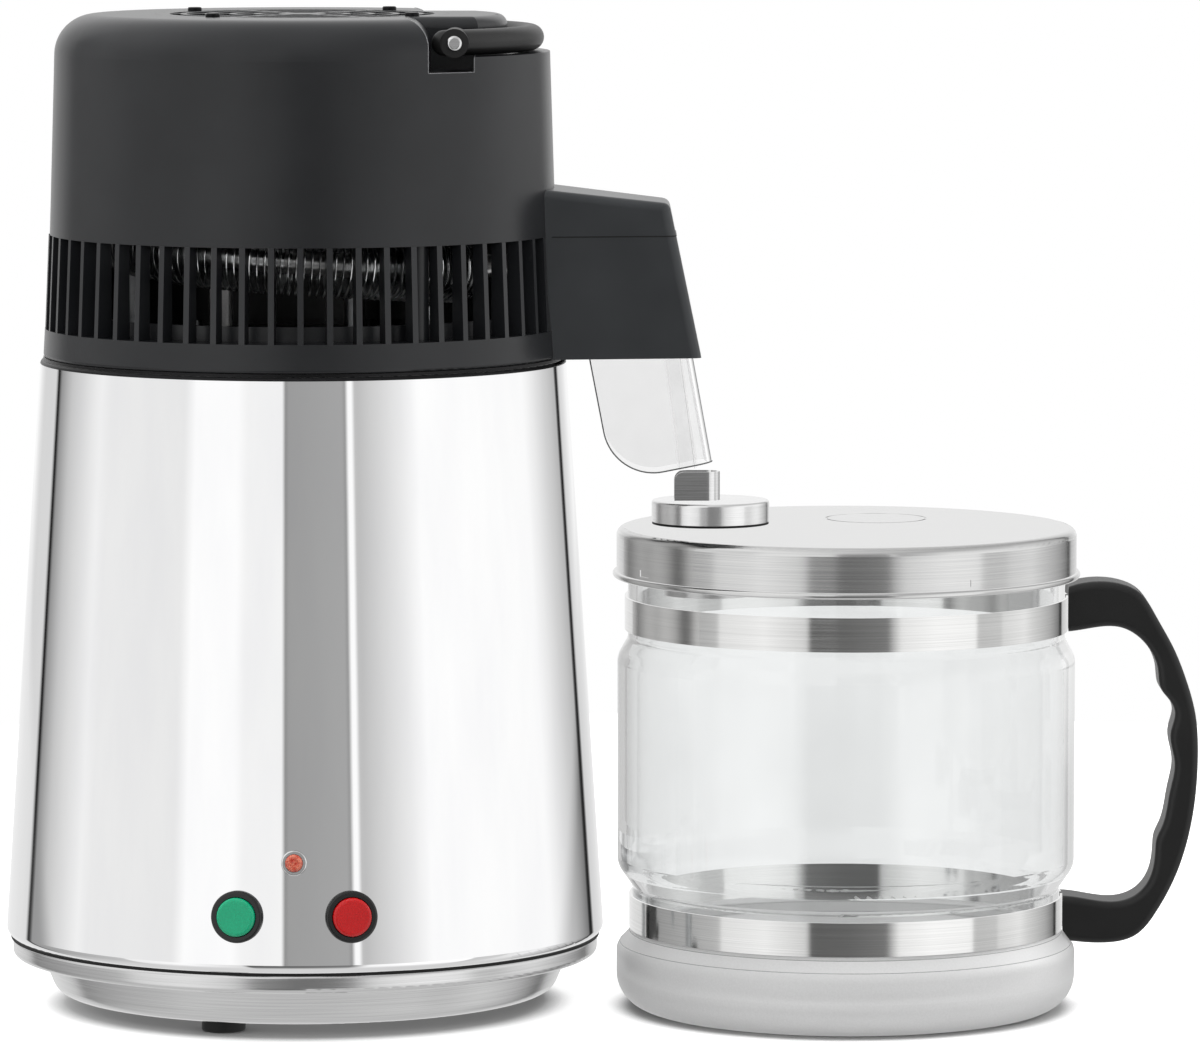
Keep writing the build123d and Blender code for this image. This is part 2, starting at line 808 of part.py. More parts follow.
# A push switch: bezel and barrel, clamping nut and cap
def switch_housing(panel):
    with BuildPart() as housing:
        with BuildSketch(panel):
            Circle(bezel_radius)
        extrude(amount=bezel_height)
        fillet(housing.faces().sort_by(Axis(panel.origin, panel.z_dir))[-1].edges(), bezel_round)
        with BuildSketch(panel):
            Circle(switch_barrel_radius)
        extrude(amount=-switch_barrel_length)
        with BuildSketch(panel.offset(bezel_height)):
            Circle(switch_barrel_radius - switch_wall)
        extrude(amount=switch_back_thickness - switch_barrel_length - bezel_height, mode=Mode.SUBTRACT)
    return housing.part


cap_radius = switch_barrel_radius - switch_wall - slide_gap


def button_cap(panel):
    with BuildPart() as cap:
        with BuildSketch(panel.offset(cap_proud)):
            Circle(cap_radius)
        extrude(amount=-cap_length)
        fillet(cap.faces().sort_by(Axis(panel.origin, panel.z_dir))[-1].edges(), cap_round)
        with BuildSketch(panel.offset(cap_proud - cap_length)):
            Circle(cap_radius - cap_wall)
        extrude(amount=cap_length - cap_face_thickness, mode=Mode.SUBTRACT)
    return cap.part


for name, panel in (("start", start_panel), ("stop", stop_panel)):
    pieces = {"switch": switch_housing(panel), "button": button_cap(panel)}
    for kind, piece in pieces.items():
        piece.label = f"{name}_{kind}"
        export_step(piece, f"parts/{name}_{kind}.step")
with BuildPart() as switch_nuts:
    with BuildSketch(*[panel.offset(-shell_wall - nut_setback) for panel in (start_panel, stop_panel)]):
        RegularPolygon(nut_radius, 6)
        Circle(switch_barrel_radius + seat_gap, mode=Mode.SUBTRACT)
    extrude(amount=-nut_thickness)
switch_nuts.part.label = "switch_nuts"
export_step(switch_nuts.part, "parts/switch_nuts.step")

# Pilot lamp
with BuildPart() as pilot_bezel:
    with BuildSketch(lamp_panel):
        Circle(lamp_bezel_radius)
    extrude(amount=lamp_bezel_height)
    bezel_face = pilot_bezel.faces().sort_by(Axis(lamp_panel.origin, lamp_panel.z_dir))[-1]
    fillet(bezel_face.edges(), lamp_bezel_round)
    with BuildSketch(lamp_panel):
        Circle(lamp_barrel_radius)
    extrude(amount=-lamp_barrel_length)
    with BuildSketch(lamp_panel.offset(lamp_bezel_height)):
        Circle(lamp_barrel_radius - lamp_wall)
    extrude(amount=-lamp_bezel_height - lens_length, mode=Mode.SUBTRACT)
pilot_bezel.part.label = "pilot_bezel"
export_step(pilot_bezel.part, "parts/pilot_bezel.step")

with BuildPart() as pilot_lens:
    with BuildSketch(lamp_panel.offset(-lens_length)):
        Circle(lamp_barrel_radius - lamp_wall - seat_gap)
    extrude(amount=lens_length + lamp_bezel_height + lens_proud)
    fillet(pilot_lens.faces().sort_by(Axis(lamp_panel.origin, lamp_panel.z_dir))[-1].edges(), lens_round)
pilot_lens.part.label = "pilot_lens"
export_step(pilot_lens.part, "parts/pilot_lens.step")

# Mains inlet and the fan's outlet
with BuildPart() as mains_inlet:
    with BuildSketch(inlet_plane):
        RectangleRounded(inlet_width, inlet_rise, inlet_corner_round)
    extrude(amount=-inlet_flange_thickness)
    with BuildSketch(inlet_plane):
        Rectangle(inlet_body_width, inlet_body_rise)
    extrude(amount=-inlet_body_depth)
    mouth_half = inlet_mouth_width / 2
    mouth_top = inlet_mouth_rise / 2
    extrude(outline(inlet_plane, [
        (-mouth_half, -mouth_top, 0),
        (mouth_half, -mouth_top, 0),
        (mouth_half, mouth_top - inlet_mouth_corner, 0),
        (mouth_half - inlet_mouth_corner, mouth_top, 0),
        (inlet_mouth_corner - mouth_half, mouth_top, 0),
        (-mouth_half, mouth_top - inlet_mouth_corner, 0)]), amount=-inlet_mouth_depth, mode=Mode.SUBTRACT)
mains_inlet.part.label = "mains_inlet"
export_step(mains_inlet.part, "parts/mains_inlet.step")

with BuildPart() as inlet_pins:
    with BuildSketch(inlet_plane.offset(-inlet_mouth_depth)):
        with Locations((-inlet_pin_spacing, inlet_live_offset), (0, inlet_earth_offset),
                       (inlet_pin_spacing, inlet_live_offset)):
            Rectangle(inlet_pin_width, inlet_pin_rise)
    extrude(amount=inlet_pin_length)
inlet_pins.part.label = "inlet_pins"
export_step(inlet_pins.part, "parts/inlet_pins.step")

with BuildPart() as fan_outlet:
    with BuildSketch(outlet_plane):
        RectangleRounded(outlet_width, outlet_rise, inlet_corner_round)
    extrude(amount=-outlet_depth)
    with BuildSketch(outlet_plane):
        with GridLocations(outlet_slot_spacing, 0, 2, 1):
            Rectangle(outlet_slot_width, outlet_slot_rise)
    extrude(amount=-outlet_slot_depth, mode=Mode.SUBTRACT)
fan_outlet.part.label = "fan_outlet"
export_step(fan_outlet.part, "parts/fan_outlet.step")


# The spout arm: its end leans out as it goes down, and it narrows towards the tip
def arm_end_reach(level):
    share = (parting_level - level) / (parting_level - head_level)
    return arm_parting_reach + share * (arm_bottom_reach - arm_parting_reach)


def arm_half_width(reach):
    share = (reach - arm_root_reach) / (arm_bottom_reach - arm_root_reach)
    return arm_root_half_width + share * (arm_tip_half_width - arm_root_half_width)


def arm_block(side_corners, shrink, top_round=0):
    # The arm's side outline cut to its tapering plan, drawn in by the given amount
    levels = [up for _, up, _ in side_corners]
    tip = arm_bottom_reach + overrun
    middle = boiler_x + (arm_root_reach + arm_parting_reach) / 2
    with BuildPart() as block:
        extrude(outline(boiler_side, side_corners), amount=arm_root_half_width + overrun, both=True)
        plan = outline(floor_plan(min(levels) - overrun), [
            (arm_root_reach, shrink - arm_half_width(arm_root_reach), 0),
            (tip, shrink - arm_half_width(tip), 0),
            (tip, arm_half_width(tip) - shrink, 0),
            (arm_root_reach, arm_half_width(arm_root_reach) - shrink, 0)])
        extrude(plan, amount=max(levels) - min(levels) + 2 * overrun, mode=Mode.INTERSECT)
        fillet(block.edges().filter_by(
            lambda edge: edge.center().X > middle and abs((edge % 0).Z) > upright_share),
            arm_nose_round - shrink)
        if top_round:
            level_faces = block.faces().filter_by(lambda face: face.normal_at().Z > upright_share)
            top = level_faces.sort_by(Axis.Z)[-1]
            fillet(top.edges().filter_by(lambda edge: edge.center().X > boiler_x + arm_root_reach + overrun),
                   top_round)
    return block.part


def lower_arm_corners(low, high, shrink):
    return [(arm_root_reach, low, 0), (arm_end_reach(low) - shrink, low, 0),
            (arm_end_reach(high) - shrink, high, 0), (arm_root_reach, high, 0)]


def upper_arm_corners(low, shrink):
    # The top edge falls gently from the dome to the tip
    tip_top = parting_level + arm_top_tip_height - shrink
    root_top = parting_level + arm_top_root_height - shrink
    return [(arm_root_reach, low, 0), (arm_end_reach(low) - shrink, low, 0),
            (arm_end_reach(tip_top) - shrink, tip_top, 0), (arm_root_reach, root_top, 0)]


post_planes = around(post_circle_radius, post_count, first_post_angle, shelf_level)
lid_screw_planes = around(lid_screw_circle_radius, lid_screw_count, first_lid_screw_angle, chamber_lid_top)
slat_angles = [first_slat_angle + 360 * index / slat_count for index in range(slat_count)]
slat_angles = [angle for angle in slat_angles if cos(radians(angle)) < cos(radians(arm_gap_angle))]
slat_inner = skirt_radius - skirt_draft - slat_depth
vent_ring_radius = dome_bottom_radius - dome_wall - slide_gap

# Vent ring with its slats, shelf, screw posts and the lower arm
with BuildPart() as lower_housing:
    add(arm_block(lower_arm_corners(head_level, parting_level, 0), 0))
    add(arm_block(lower_arm_corners(head_level - overrun, parting_level + overrun, arm_wall), arm_wall),
        mode=Mode.SUBTRACT)
    with BuildSketch(floor_plan(head_level - overrun)):
        Circle(skirt_radius - skirt_draft - skirt_wall)
    extrude(amount=parting_level - head_level + 2 * overrun, mode=Mode.SUBTRACT)
    revolve(outline(boiler_side, [
        (skirt_radius - skirt_wall, head_level, 0),
        (skirt_radius, head_level, skirt_round),
        (skirt_radius - skirt_draft, skirt_top_level, 0),
        (shelf_radius + shelf_lip_wall, skirt_top_level, 0),
        (shelf_radius + shelf_lip_wall, skirt_top_level + shelf_lip_height, 0),
        (shelf_radius, skirt_top_level + shelf_lip_height, 0),
        (shelf_radius, shelf_level, 0),
        (skirt_radius - skirt_wall, shelf_level, 0)]), axis=boiler_axis)
    with BuildSketch(*[radial_plane(angle) for angle in slat_angles]):
        with BuildLine():
            Polyline((slat_inner, shelf_level), (skirt_radius - skirt_draft, shelf_level),
                     (skirt_radius - skirt_draft - slat_draft, parting_level), (slat_inner, parting_level),
                     close=True)
        make_face()
    extrude(amount=slat_width / 2, both=True)
    revolve(ring_outline(boiler_side, vent_ring_radius - vent_ring_wall, vent_ring_radius,
                         parting_level - seat_gap, parting_level + vent_ring_rise), axis=boiler_axis)
    back_wall = ring_outline(radial_plane(back_wall_angle), shelf_radius, shelf_radius + shelf_lip_wall,
                             shelf_level, parting_level)
    revolve(back_wall, axis=boiler_axis, revolution_arc=180 - 2 * back_wall_angle)
    with BuildSketch(*post_planes):
        Circle(post_radius)
    extrude(amount=socket_level - slide_gap - shelf_level)
    with BuildSketch(*lid_screw_planes):
        Circle(lid_screw_boss_radius)
    extrude(amount=shelf_level - chamber_lid_top + seat_gap)
    with BuildSketch(*lid_screw_planes):
        Circle(lid_screw_radius + seat_gap)
    extrude(amount=lid_screw_grip + seat_gap, mode=Mode.SUBTRACT)
    with BuildSketch(*post_planes):
        Circle(post_screw_radius + seat_gap)
    extrude(amount=socket_level - shelf_level + overrun, both=True, mode=Mode.SUBTRACT)
lower_housing.part.label = "lower_housing"
export_step(lower_housing.part, "parts/lower_housing.step")


# The pocket in the dome's rim that the carry handle folds into, grown by a wall thickness
def handle_recess(grow):
    left = recess_reach - grow
    ledge = ledge_level - grow
    notch = ledge_level - notch_depth - grow
    top = dome_top_level + overrun
    right = dome_bottom_radius + overrun
    flare_low = dome_top_level - recess_flare_drop
    with BuildPart() as recess:
        with BuildSketch(boiler_side):
            with BuildLine():
                Polyline((left, flare_low), (left, notch), (notch_right_reach + grow, notch),
                         (notch_right_reach + grow, ledge), (right, ledge), (right, top),
                         (left - recess_flare, top), (left - recess_flare, dome_top_level))
                TangentArc((left, flare_low), (left - recess_flare, dome_top_level), tangent=(0, 1))
            make_face()
        extrude(amount=dome_bottom_radius + overrun, both=True)
        with BuildSketch(floor_plan(notch - overrun)):
            Circle(core_radius - grow)
            Rectangle(2 * core_radius, 2 * (core_flat - grow), mode=Mode.INTERSECT)
        extrude(amount=top - notch + 2 * overrun, mode=Mode.SUBTRACT)
    return recess.part


with BuildPart() as dome_inside:
    revolve(outline(boiler_side, [
        (0, parting_level - overrun, 0),
        (dome_bottom_radius - dome_wall, parting_level - overrun, 0),
        (dome_top_radius - dome_wall, dome_inner_top_level, dome_shoulder - dome_wall),
        (0, dome_inner_top_level, 0)]), axis=boiler_axis)
    add(handle_recess(dome_wall), mode=Mode.SUBTRACT)

pivot_planes = [Plane((boiler_x + bail_pivot_reach, side * core_flat, bail_level), x_dir=(1, 0, 0),
                      z_dir=(0, side, 0)) for side in (-1, 1)]
boss_planes = [Plane((boiler_x, side * boss_circle_radius, bracket_top_level)) for side in (-1, 1)]
socket_planes = [plane.offset(socket_level - shelf_level) for plane in post_planes]
gland_plane = back_plane(dome_bottom_radius, parting_level + gland_rise)
guard_plane = floor_plan(dome_inner_top_level)
guard_screw_planes = around(guard_screw_circle_radius, guard_screw_count, first_guard_screw_angle,
                            dome_inner_top_level)

# Dome with the upper arm, handle recess, grille seat and the bosses that hang the motor
with BuildPart() as upper_housing:
    revolve(outline(boiler_side, [
        (0, parting_level, 0),
        (dome_bottom_radius, parting_level, 0),
        (dome_top_radius, dome_top_level, dome_shoulder),
        (0, dome_top_level, 0)]), axis=boiler_axis)
    add(arm_block(upper_arm_corners(parting_level, 0), 0, arm_top_round))
    add(handle_recess(0), mode=Mode.SUBTRACT)
    roof_edges = upper_housing.edges().filter_by(
        lambda edge: abs(edge.center().Z - dome_top_level) < seat_gap)
    fillet(roof_edges.filter_by(lambda edge: edge.center().X > boiler_x + recess_reach), core_edge_round)
    add(arm_block(upper_arm_corners(parting_level - overrun, arm_wall), arm_wall), mode=Mode.SUBTRACT)
    add(dome_inside.part, mode=Mode.SUBTRACT)
    with BuildSketch(*boss_planes):
        Circle(boss_radius)
    extrude(amount=boss_length + seat_gap)
    with BuildSketch(*socket_planes):
        Circle(socket_radius)
    extrude(amount=socket_length)
    with BuildSketch(*pivot_planes):
        Circle(pivot_boss_radius)
    extrude(amount=pivot_boss_length)
    revolve(ring_outline(boiler_side, guard_radius - guard_ledge_width, guard_radius + guard_ledge_width,
                         dome_inner_top_level - guard_ledge_thickness, dome_inner_top_level + seat_gap),
            axis=boiler_axis)
    with BuildSketch(guard_plane):
        Circle(guard_radius - guard_ledge_width)
    extrude(amount=guard_ledge_thickness + overrun, both=True, mode=Mode.SUBTRACT)
    with BuildSketch(guard_plane):
        Circle(guard_radius + seat_gap)
    extrude(amount=dome_wall + overrun, mode=Mode.SUBTRACT)
    with BuildSketch(*guard_screw_planes):
        Circle(guard_screw_radius + seat_gap)
    extrude(amount=-guard_ledge_thickness - overrun, mode=Mode.SUBTRACT)
    with BuildSketch(*boss_planes):
        Circle(motor_screw_radius + seat_gap)
    extrude(amount=motor_screw_length + seat_gap, mode=Mode.SUBTRACT)
    with BuildSketch(*socket_planes):
        Circle(post_screw_radius + seat_gap)
    extrude(amount=post_screw_grip + seat_gap, mode=Mode.SUBTRACT)
    with BuildSketch(*[plane.offset(pivot_boss_length) for plane in pivot_planes]):
        Circle(pivot_screw_radius + seat_gap)
    extrude(amount=-pivot_boss_length - pivot_screw_grip, mode=Mode.SUBTRACT)
    with BuildSketch(gland_plane):
        Circle(gland_radius + seat_gap)
    extrude(amount=-gland_length, mode=Mode.SUBTRACT)
upper_housing.part.label = "upper_housing"
export_step(upper_housing.part, "parts/upper_housing.step")

with BuildPart() as fan_lead_gland:
    with BuildSketch(gland_plane):
        Circle(gland_flange_radius)
    extrude(amount=gland_flange_thickness)
    fillet(fan_lead_gland.faces().sort_by(Axis.Y)[-1].edges(), gland_round)
    with BuildSketch(gland_plane):
        Circle(gland_radius)
    extrude(amount=-gland_length)
    with BuildSketch(gland_plane.offset(gland_flange_thickness)):
        Circle(gland_bore_radius)
    extrude(amount=-gland_flange_thickness - gland_length - overrun, mode=Mode.SUBTRACT)
fan_lead_gland.part.label = "fan_lead_gland"
export_step(fan_lead_gland.part, "parts/fan_lead_gland.step")

guard_ring_pitch = (guard_radius - guard_hub_radius) / (guard_ring_count + 1)
with BuildPart() as fan_guard:
    with BuildSketch(guard_plane):
        Circle(guard_radius)
        Circle(guard_radius - guard_rim_width, mode=Mode.SUBTRACT)
        for index in range(guard_ring_count, 0, -1):
            ring_radius = guard_hub_radius + index * guard_ring_pitch
            Circle(ring_radius)
            Circle(ring_radius - guard_ring_width, mode=Mode.SUBTRACT)
        Circle(guard_hub_radius)
        with PolarLocations(0, guard_spoke_count):
            Rectangle(guard_radius - guard_ring_width, guard_spoke_width, align=(Align.MIN, Align.CENTER))
        with PolarLocations(guard_screw_circle_radius, guard_screw_count, first_guard_screw_angle):
            Circle(guard_screw_radius + seat_gap, mode=Mode.SUBTRACT)
    extrude(amount=guard_thickness)
fan_guard.part.label = "fan_guard"
export_step(fan_guard.part, "parts/fan_guard.step")

with BuildPart() as guard_screws:
    with BuildSketch(*guard_screw_planes):
        Circle(guard_screw_radius)
    extrude(amount=-guard_ledge_thickness)
    with BuildSketch(*guard_screw_planes):
        Circle(guard_screw_radius)
    extrude(amount=guard_thickness)
    with BuildSketch(*[plane.offset(guard_thickness) for plane in guard_screw_planes]):
        Circle(guard_screw_head_radius)
    extrude(amount=guard_screw_head_height)
    fillet(guard_screws.faces().group_by(Axis.Z)[-1].edges(), guard_screw_head_round)
guard_screws.part.label = "guard_screws"
export_step(guard_screws.part, "parts/guard_screws.step")

# Fan motor hung under the roof on a cross bar
with BuildPart() as motor_bracket:
    with BuildSketch(floor_plan(bracket_level)):
        RectangleRounded(bracket_width, 2 * (boss_circle_radius + bracket_overhang), inlet_corner_round)
        Circle(bracket_hole_radius, mode=Mode.SUBTRACT)
        with Locations((0, -boss_circle_radius), (0, boss_circle_radius),
                       (0, -motor_screw_spread), (0, motor_screw_spread)):
            Circle(motor_screw_radius + seat_gap, mode=Mode.SUBTRACT)
    extrude(amount=bracket_thickness)
motor_bracket.part.label = "motor_bracket"
export_step(motor_bracket.part, "parts/motor_bracket.step")

motor_hole_planes = [Plane((boiler_x, side * motor_screw_spread, bracket_top_level)) for side in (-1, 1)]
rotor_low = bracket_top_level + bearing_height + rotor_gap
rotor_high = bracket_top_level + motor_height - bearing_height - rotor_gap - motor_cover
with BuildPart() as fan_motor:
    with BuildSketch(floor_plan(bracket_top_level)):
        Circle(motor_radius)
    extrude(amount=motor_height)
    fillet(fan_motor.faces().sort_by(Axis.Z)[-1].edges(), motor_round)
    with BuildSketch(floor_plan(bracket_top_level)):
        Circle(bearing_radius + seat_gap)
    extrude(amount=motor_height - motor_cover, mode=Mode.SUBTRACT)
    with BuildSketch(floor_plan(rotor_low - rotor_gap)):
        Circle(rotor_radius + rotor_gap)
    extrude(amount=rotor_high - rotor_low + 2 * rotor_gap, mode=Mode.SUBTRACT)
    with BuildSketch(*motor_hole_planes):
        Circle(motor_screw_radius + seat_gap)
    extrude(amount=bearing_height - seat_gap, mode=Mode.SUBTRACT)
fan_motor.part.label = "fan_motor"
export_step(fan_motor.part, "parts/fan_motor.step")

with BuildPart() as motor_bearings:
    with BuildSketch(floor_plan(bracket_top_level), floor_plan(rotor_high + rotor_gap)):
        Circle(bearing_radius)
        Circle(shaft_radius + running_gap, mode=Mode.SUBTRACT)
    extrude(amount=bearing_height - seat_gap)
motor_bearings.part.label = "motor_bearings"
export_step(motor_bearings.part, "parts/motor_bearings.step")

motor_screw_planes = [Plane((boiler_x, spread, bracket_level)) for spread in
                      (-boss_circle_radius, boss_circle_radius, -motor_screw_spread, motor_screw_spread)]
with BuildPart() as motor_screws:
    with BuildSketch(*motor_screw_planes):
        Circle(motor_screw_head_radius)
    extrude(amount=-motor_screw_head_height)
    with BuildSketch(*motor_screw_planes):
        Circle(motor_screw_radius)
    extrude(amount=bracket_thickness + bearing_height - 2 * seat_gap)
motor_screws.part.label = "motor_screws"
export_step(motor_screws.part, "parts/motor_screws.step")

# Fan: a shaft with the motor's rotor on it, and the impeller below
with BuildPart() as fan_shaft:
    with BuildSketch(floor_plan(impeller_level - hub_height / 2)):
        Circle(shaft_radius)
    extrude(amount=rotor_high + rotor_gap + bearing_height - impeller_level + hub_height / 2 - seat_gap)
    with BuildSketch(floor_plan(rotor_low)):
        Circle(rotor_radius)
    extrude(amount=rotor_high - rotor_low)
fan_shaft.part.label = "fan_shaft"
export_step(fan_shaft.part, "parts/fan_shaft.step")


def blade_plane(angle):
    turn = radians(angle)
    tilt = radians(blade_pitch)
    normal = (-sin(turn) * sin(tilt), cos(turn) * sin(tilt), cos(tilt))
    return Plane((boiler_x, 0, impeller_level), x_dir=(cos(turn), sin(turn), 0), z_dir=normal)


with BuildPart() as fan_impeller:
    with BuildSketch(floor_plan(impeller_level - hub_height / 2)):
        Circle(hub_radius)
    extrude(amount=hub_height)
    for index in range(blade_count):
        blade = outline(blade_plane(360 * index / blade_count), [
            (hub_radius / 2, -blade_root_chord / 2, 0),
            (blade_reach, -blade_chord / 2, blade_tip_round),
            (blade_reach, blade_chord / 2, blade_tip_round),
            (hub_radius / 2, blade_root_chord / 2, 0)])
        extrude(blade, amount=blade_thickness / 2, both=True)
    with BuildSketch(floor_plan(impeller_level)):
        Circle(shaft_radius + running_gap)
    extrude(amount=hub_height, both=True, mode=Mode.SUBTRACT)
fan_impeller.part.label = "fan_impeller"
export_step(fan_impeller.part, "parts/fan_impeller.step")

# Chamber lid over the pot, with its gasket and screws
riser_point = Vector(boiler_x - coil_entry_radius, -coil_radius + coil_entry_radius + coil_riser_bend, 0)
with BuildPart() as chamber_lid:
    with BuildSketch(floor_plan(chamber_lid_level)):
        Circle(chamber_lid_radius)
        with PolarLocations(lid_screw_circle_radius, lid_screw_count, first_lid_screw_angle):
            Circle(lid_screw_radius + seat_gap, mode=Mode.SUBTRACT)
        with Locations((riser_point.X - boiler_x, riser_point.Y)):
            Circle(coil_tube_radius + seat_gap, mode=Mode.SUBTRACT)
    extrude(amount=chamber_lid_thickness)
chamber_lid.part.label = "chamber_lid"
export_step(chamber_lid.part, "parts/chamber_lid.step")

with BuildPart() as chamber_gasket:
    revolve(ring_outline(boiler_side, chamber_lid_radius - chamber_gasket_width, chamber_lid_radius,
                         head_level, chamber_lid_level), axis=boiler_axis)
chamber_gasket.part.label = "chamber_gasket"
export_step(chamber_gasket.part, "parts/chamber_gasket.step")

with BuildPart() as lid_screws:
    with BuildSketch(*[plane.offset(-chamber_lid_thickness) for plane in lid_screw_planes]):
        Circle(lid_screw_head_radius)
    extrude(amount=-lid_screw_head_height)
    with BuildSketch(*[plane.offset(-chamber_lid_thickness) for plane in lid_screw_planes]):
        Circle(lid_screw_radius)
    extrude(amount=chamber_lid_thickness + lid_screw_grip)
lid_screws.part.label = "lid_screws"
export_step(lid_screws.part, "parts/lid_screws.step")

with BuildPart() as housing_screws:
    with BuildSketch(*post_planes):
        Circle(post_screw_head_radius)
    extrude(amount=-post_screw_head_height)
    with BuildSketch(*post_planes):
        Circle(post_screw_radius)
    extrude(amount=socket_level - shelf_level + post_screw_grip)
housing_screws.part.label = "housing_screws"
export_step(housing_screws.part, "parts/housing_screws.step")

# Condenser: a finned tube that rises from the chamber lid and winds down to the arm
boiler_centre = Vector(boiler_x, 0, 0)
coil_fall = coil_drop / coil_sweep


def coil_level(angle):
    return coil_top_level - coil_fall * (angle - coil_start_angle)


coil_points = []
for index in range(coil_segments + 1):
    angle = coil_start_angle + coil_sweep * index / coil_segments
    slope = 0 if index in (0, coil_segments) else -coil_fall
    coil_points.append((helix_point(boiler_centre, coil_radius, angle, coil_level(angle)),
                        helix_way(coil_radius, angle, slope)))
coil_end = Vector(boiler_x + 2 * coil_radius * cos(radians(coil_end_angle)), 0, coil_bottom_level)

with BuildPart() as condenser_coil:
    with BuildLine() as coil_path:
        riser_low = riser_point + Vector(0, 0, chamber_lid_level - coil_entry_lap)
        riser_high = riser_point + Vector(0, 0, coil_top_level - coil_riser_bend)
        bend_end = riser_point + Vector(0, -coil_riser_bend, coil_top_level)
        Line(riser_low, riser_high)
        TangentArc(riser_high, bend_end, tangent=(0, 0, 1))
        TangentArc(bend_end, coil_points[0][0], tangent=(0, -1, 0))
        for (start, start_way), (end, end_way) in zip(coil_points, coil_points[1:]):
            add_biarc(start, start_way, end, end_way)
        TangentArc(coil_points[-1][0], coil_end, tangent=coil_points[-1][1])
    with BuildSketch(Plane(riser_low)):
        Circle(coil_tube_radius)
        Circle(coil_tube_radius - coil_tube_wall, mode=Mode.SUBTRACT)
    sweep(path=coil_path.line)
condenser_coil.part.label = "condenser_coil"
export_step(condenser_coil.part, "parts/condenser_coil.step")

coil_wire = coil_path.wire()
sample_count = ceil(coil_wire.length / coil_tube_radius)
samples = [coil_wire @ (index / sample_count) for index in range(sample_count + 1)]
along_gap = coil_wire.length / sample_count
coil_gaps = [(a - b).length - 2 * coil_tube_radius
             for i, a in enumerate(samples) for j, b in enumerate(samples)
             if (j - i) * along_gap > 2 * coil_radius]
print("condenser coil, least gap to itself", round(min(coil_gaps), 2))

lead_in = (riser_high - riser_low).length + pi * (coil_riser_bend + coil_entry_radius) / 2
lead_out = pi * coil_radius / 3
finned_length = coil_wire.length - lead_in - lead_out
with BuildPart() as condenser_fins:
    for index in range(fin_count):
        place = (lead_in + finned_length * (index + 1 / 2) / fin_count) / coil_wire.length
        with BuildSketch(Plane(coil_wire @ place, z_dir=coil_wire % place)):
            Circle(fin_radius)
            Circle(coil_tube_radius + fin_hole_gap, mode=Mode.SUBTRACT)
        extrude(amount=fin_thickness / 2, both=True)
condenser_fins.part.label = "condenser_fins"
export_step(condenser_fins.part, "parts/condenser_fins.step")

with BuildPart() as coil_supports:
    for angle in coil_post_angles:
        foot = helix_point(boiler_centre, coil_radius, angle, chamber_lid_top)
        with BuildSketch(Plane(foot)):
            Circle(coil_post_radius)
        near = [point.Z for point in samples
                if (point - foot - Vector(0, 0, point.Z - foot.Z)).length < fin_radius]
        extrude(amount=min(near) - fin_radius - slide_gap - chamber_lid_top)
coil_supports.part.label = "coil_supports"
export_step(coil_supports.part, "parts/coil_supports.step")

outlet_tip_level = jar_rim_level + lid_rim_gap + filter_stack_height + guide_height + guide_tip_gap
with BuildPart() as outlet_tube:
    with BuildLine(boiler_side) as outlet_path:
        FilletPolyline((coil_end.X - outlet_lap - boiler_x, coil_bottom_level),
                       (outlet_bend_reach, coil_bottom_level),
                       (outlet_tip_reach, outlet_tip_level), radius=outlet_bend_radius)
    with BuildSketch(Plane(outlet_path.line @ 0, z_dir=outlet_path.line % 0)):
        Circle(outlet_tube_radius)
        Circle(outlet_tube_radius - outlet_tube_wall, mode=Mode.SUBTRACT)
    sweep(path=outlet_path.line)
outlet_tube.part.label = "outlet_tube"
export_step(outlet_tube.part, "parts/outlet_tube.step")


# Clear hood round the spout, open towards the boiler and downwards
def hood_right(level):
    share = (head_level - level) / shield_right_drop
    return shield_right_top_reach + share * (shield_right_bottom_reach - shield_right_top_reach)


def hood_left(level):
    share = (head_level - level) / shield_corner_drop
    return shield_left_reach + share * (shield_corner_reach - shield_left_reach)


hood_top = head_level + shield_tuck
hood_right_low = head_level - shield_right_drop
hood_corner = head_level - shield_corner_drop


def round_nose(block, radius):
    middle = boiler_x + (shield_corner_reach + shield_right_bottom_reach) / 2
    return fillet(block.edges().filter_by(
        lambda edge: edge.center().X > middle and abs((edge % 0).Z) > upright_share), radius)


with BuildPart() as hood_inside:
    low = hood_corner - shield_corner_drop
    high = hood_top + overrun
    extrude(outline(boiler_side, [
        (skirt_radius, low, 0),
        (hood_right(low) - shield_wall, low, 0),
        (hood_right(high) - shield_wall, high, 0),
        (skirt_radius, high, 0)]), amount=shield_half_width - shield_wall, both=True)
    round_nose(hood_inside, shield_nose_round - shield_wall)

with BuildPart() as spout_shield:
    extrude(outline(boiler_side, [
        (hood_left(hood_top), hood_top, 0),
        (shield_corner_reach, hood_corner, shield_corner_round),
        (shield_right_bottom_reach, hood_right_low, 0),
        (hood_right(hood_top), hood_top, 0)]), amount=shield_half_width, both=True)
    round_nose(spout_shield, shield_nose_round)
    flange_low = hood_top - shield_flange_height
    flange_shrink = arm_wall + slide_gap
    add(arm_block(lower_arm_corners(flange_low, hood_top, flange_shrink), flange_shrink))
    with BuildSketch(floor_plan(flange_low - overrun)):
        Circle(skirt_radius + slide_gap)
    extrude(amount=shield_flange_height + 2 * overrun, mode=Mode.SUBTRACT)
    add(hood_inside.part, mode=Mode.SUBTRACT)
spout_shield.part.label = "spout_shield"
export_step(spout_shield.part, "parts/spout_shield.step")

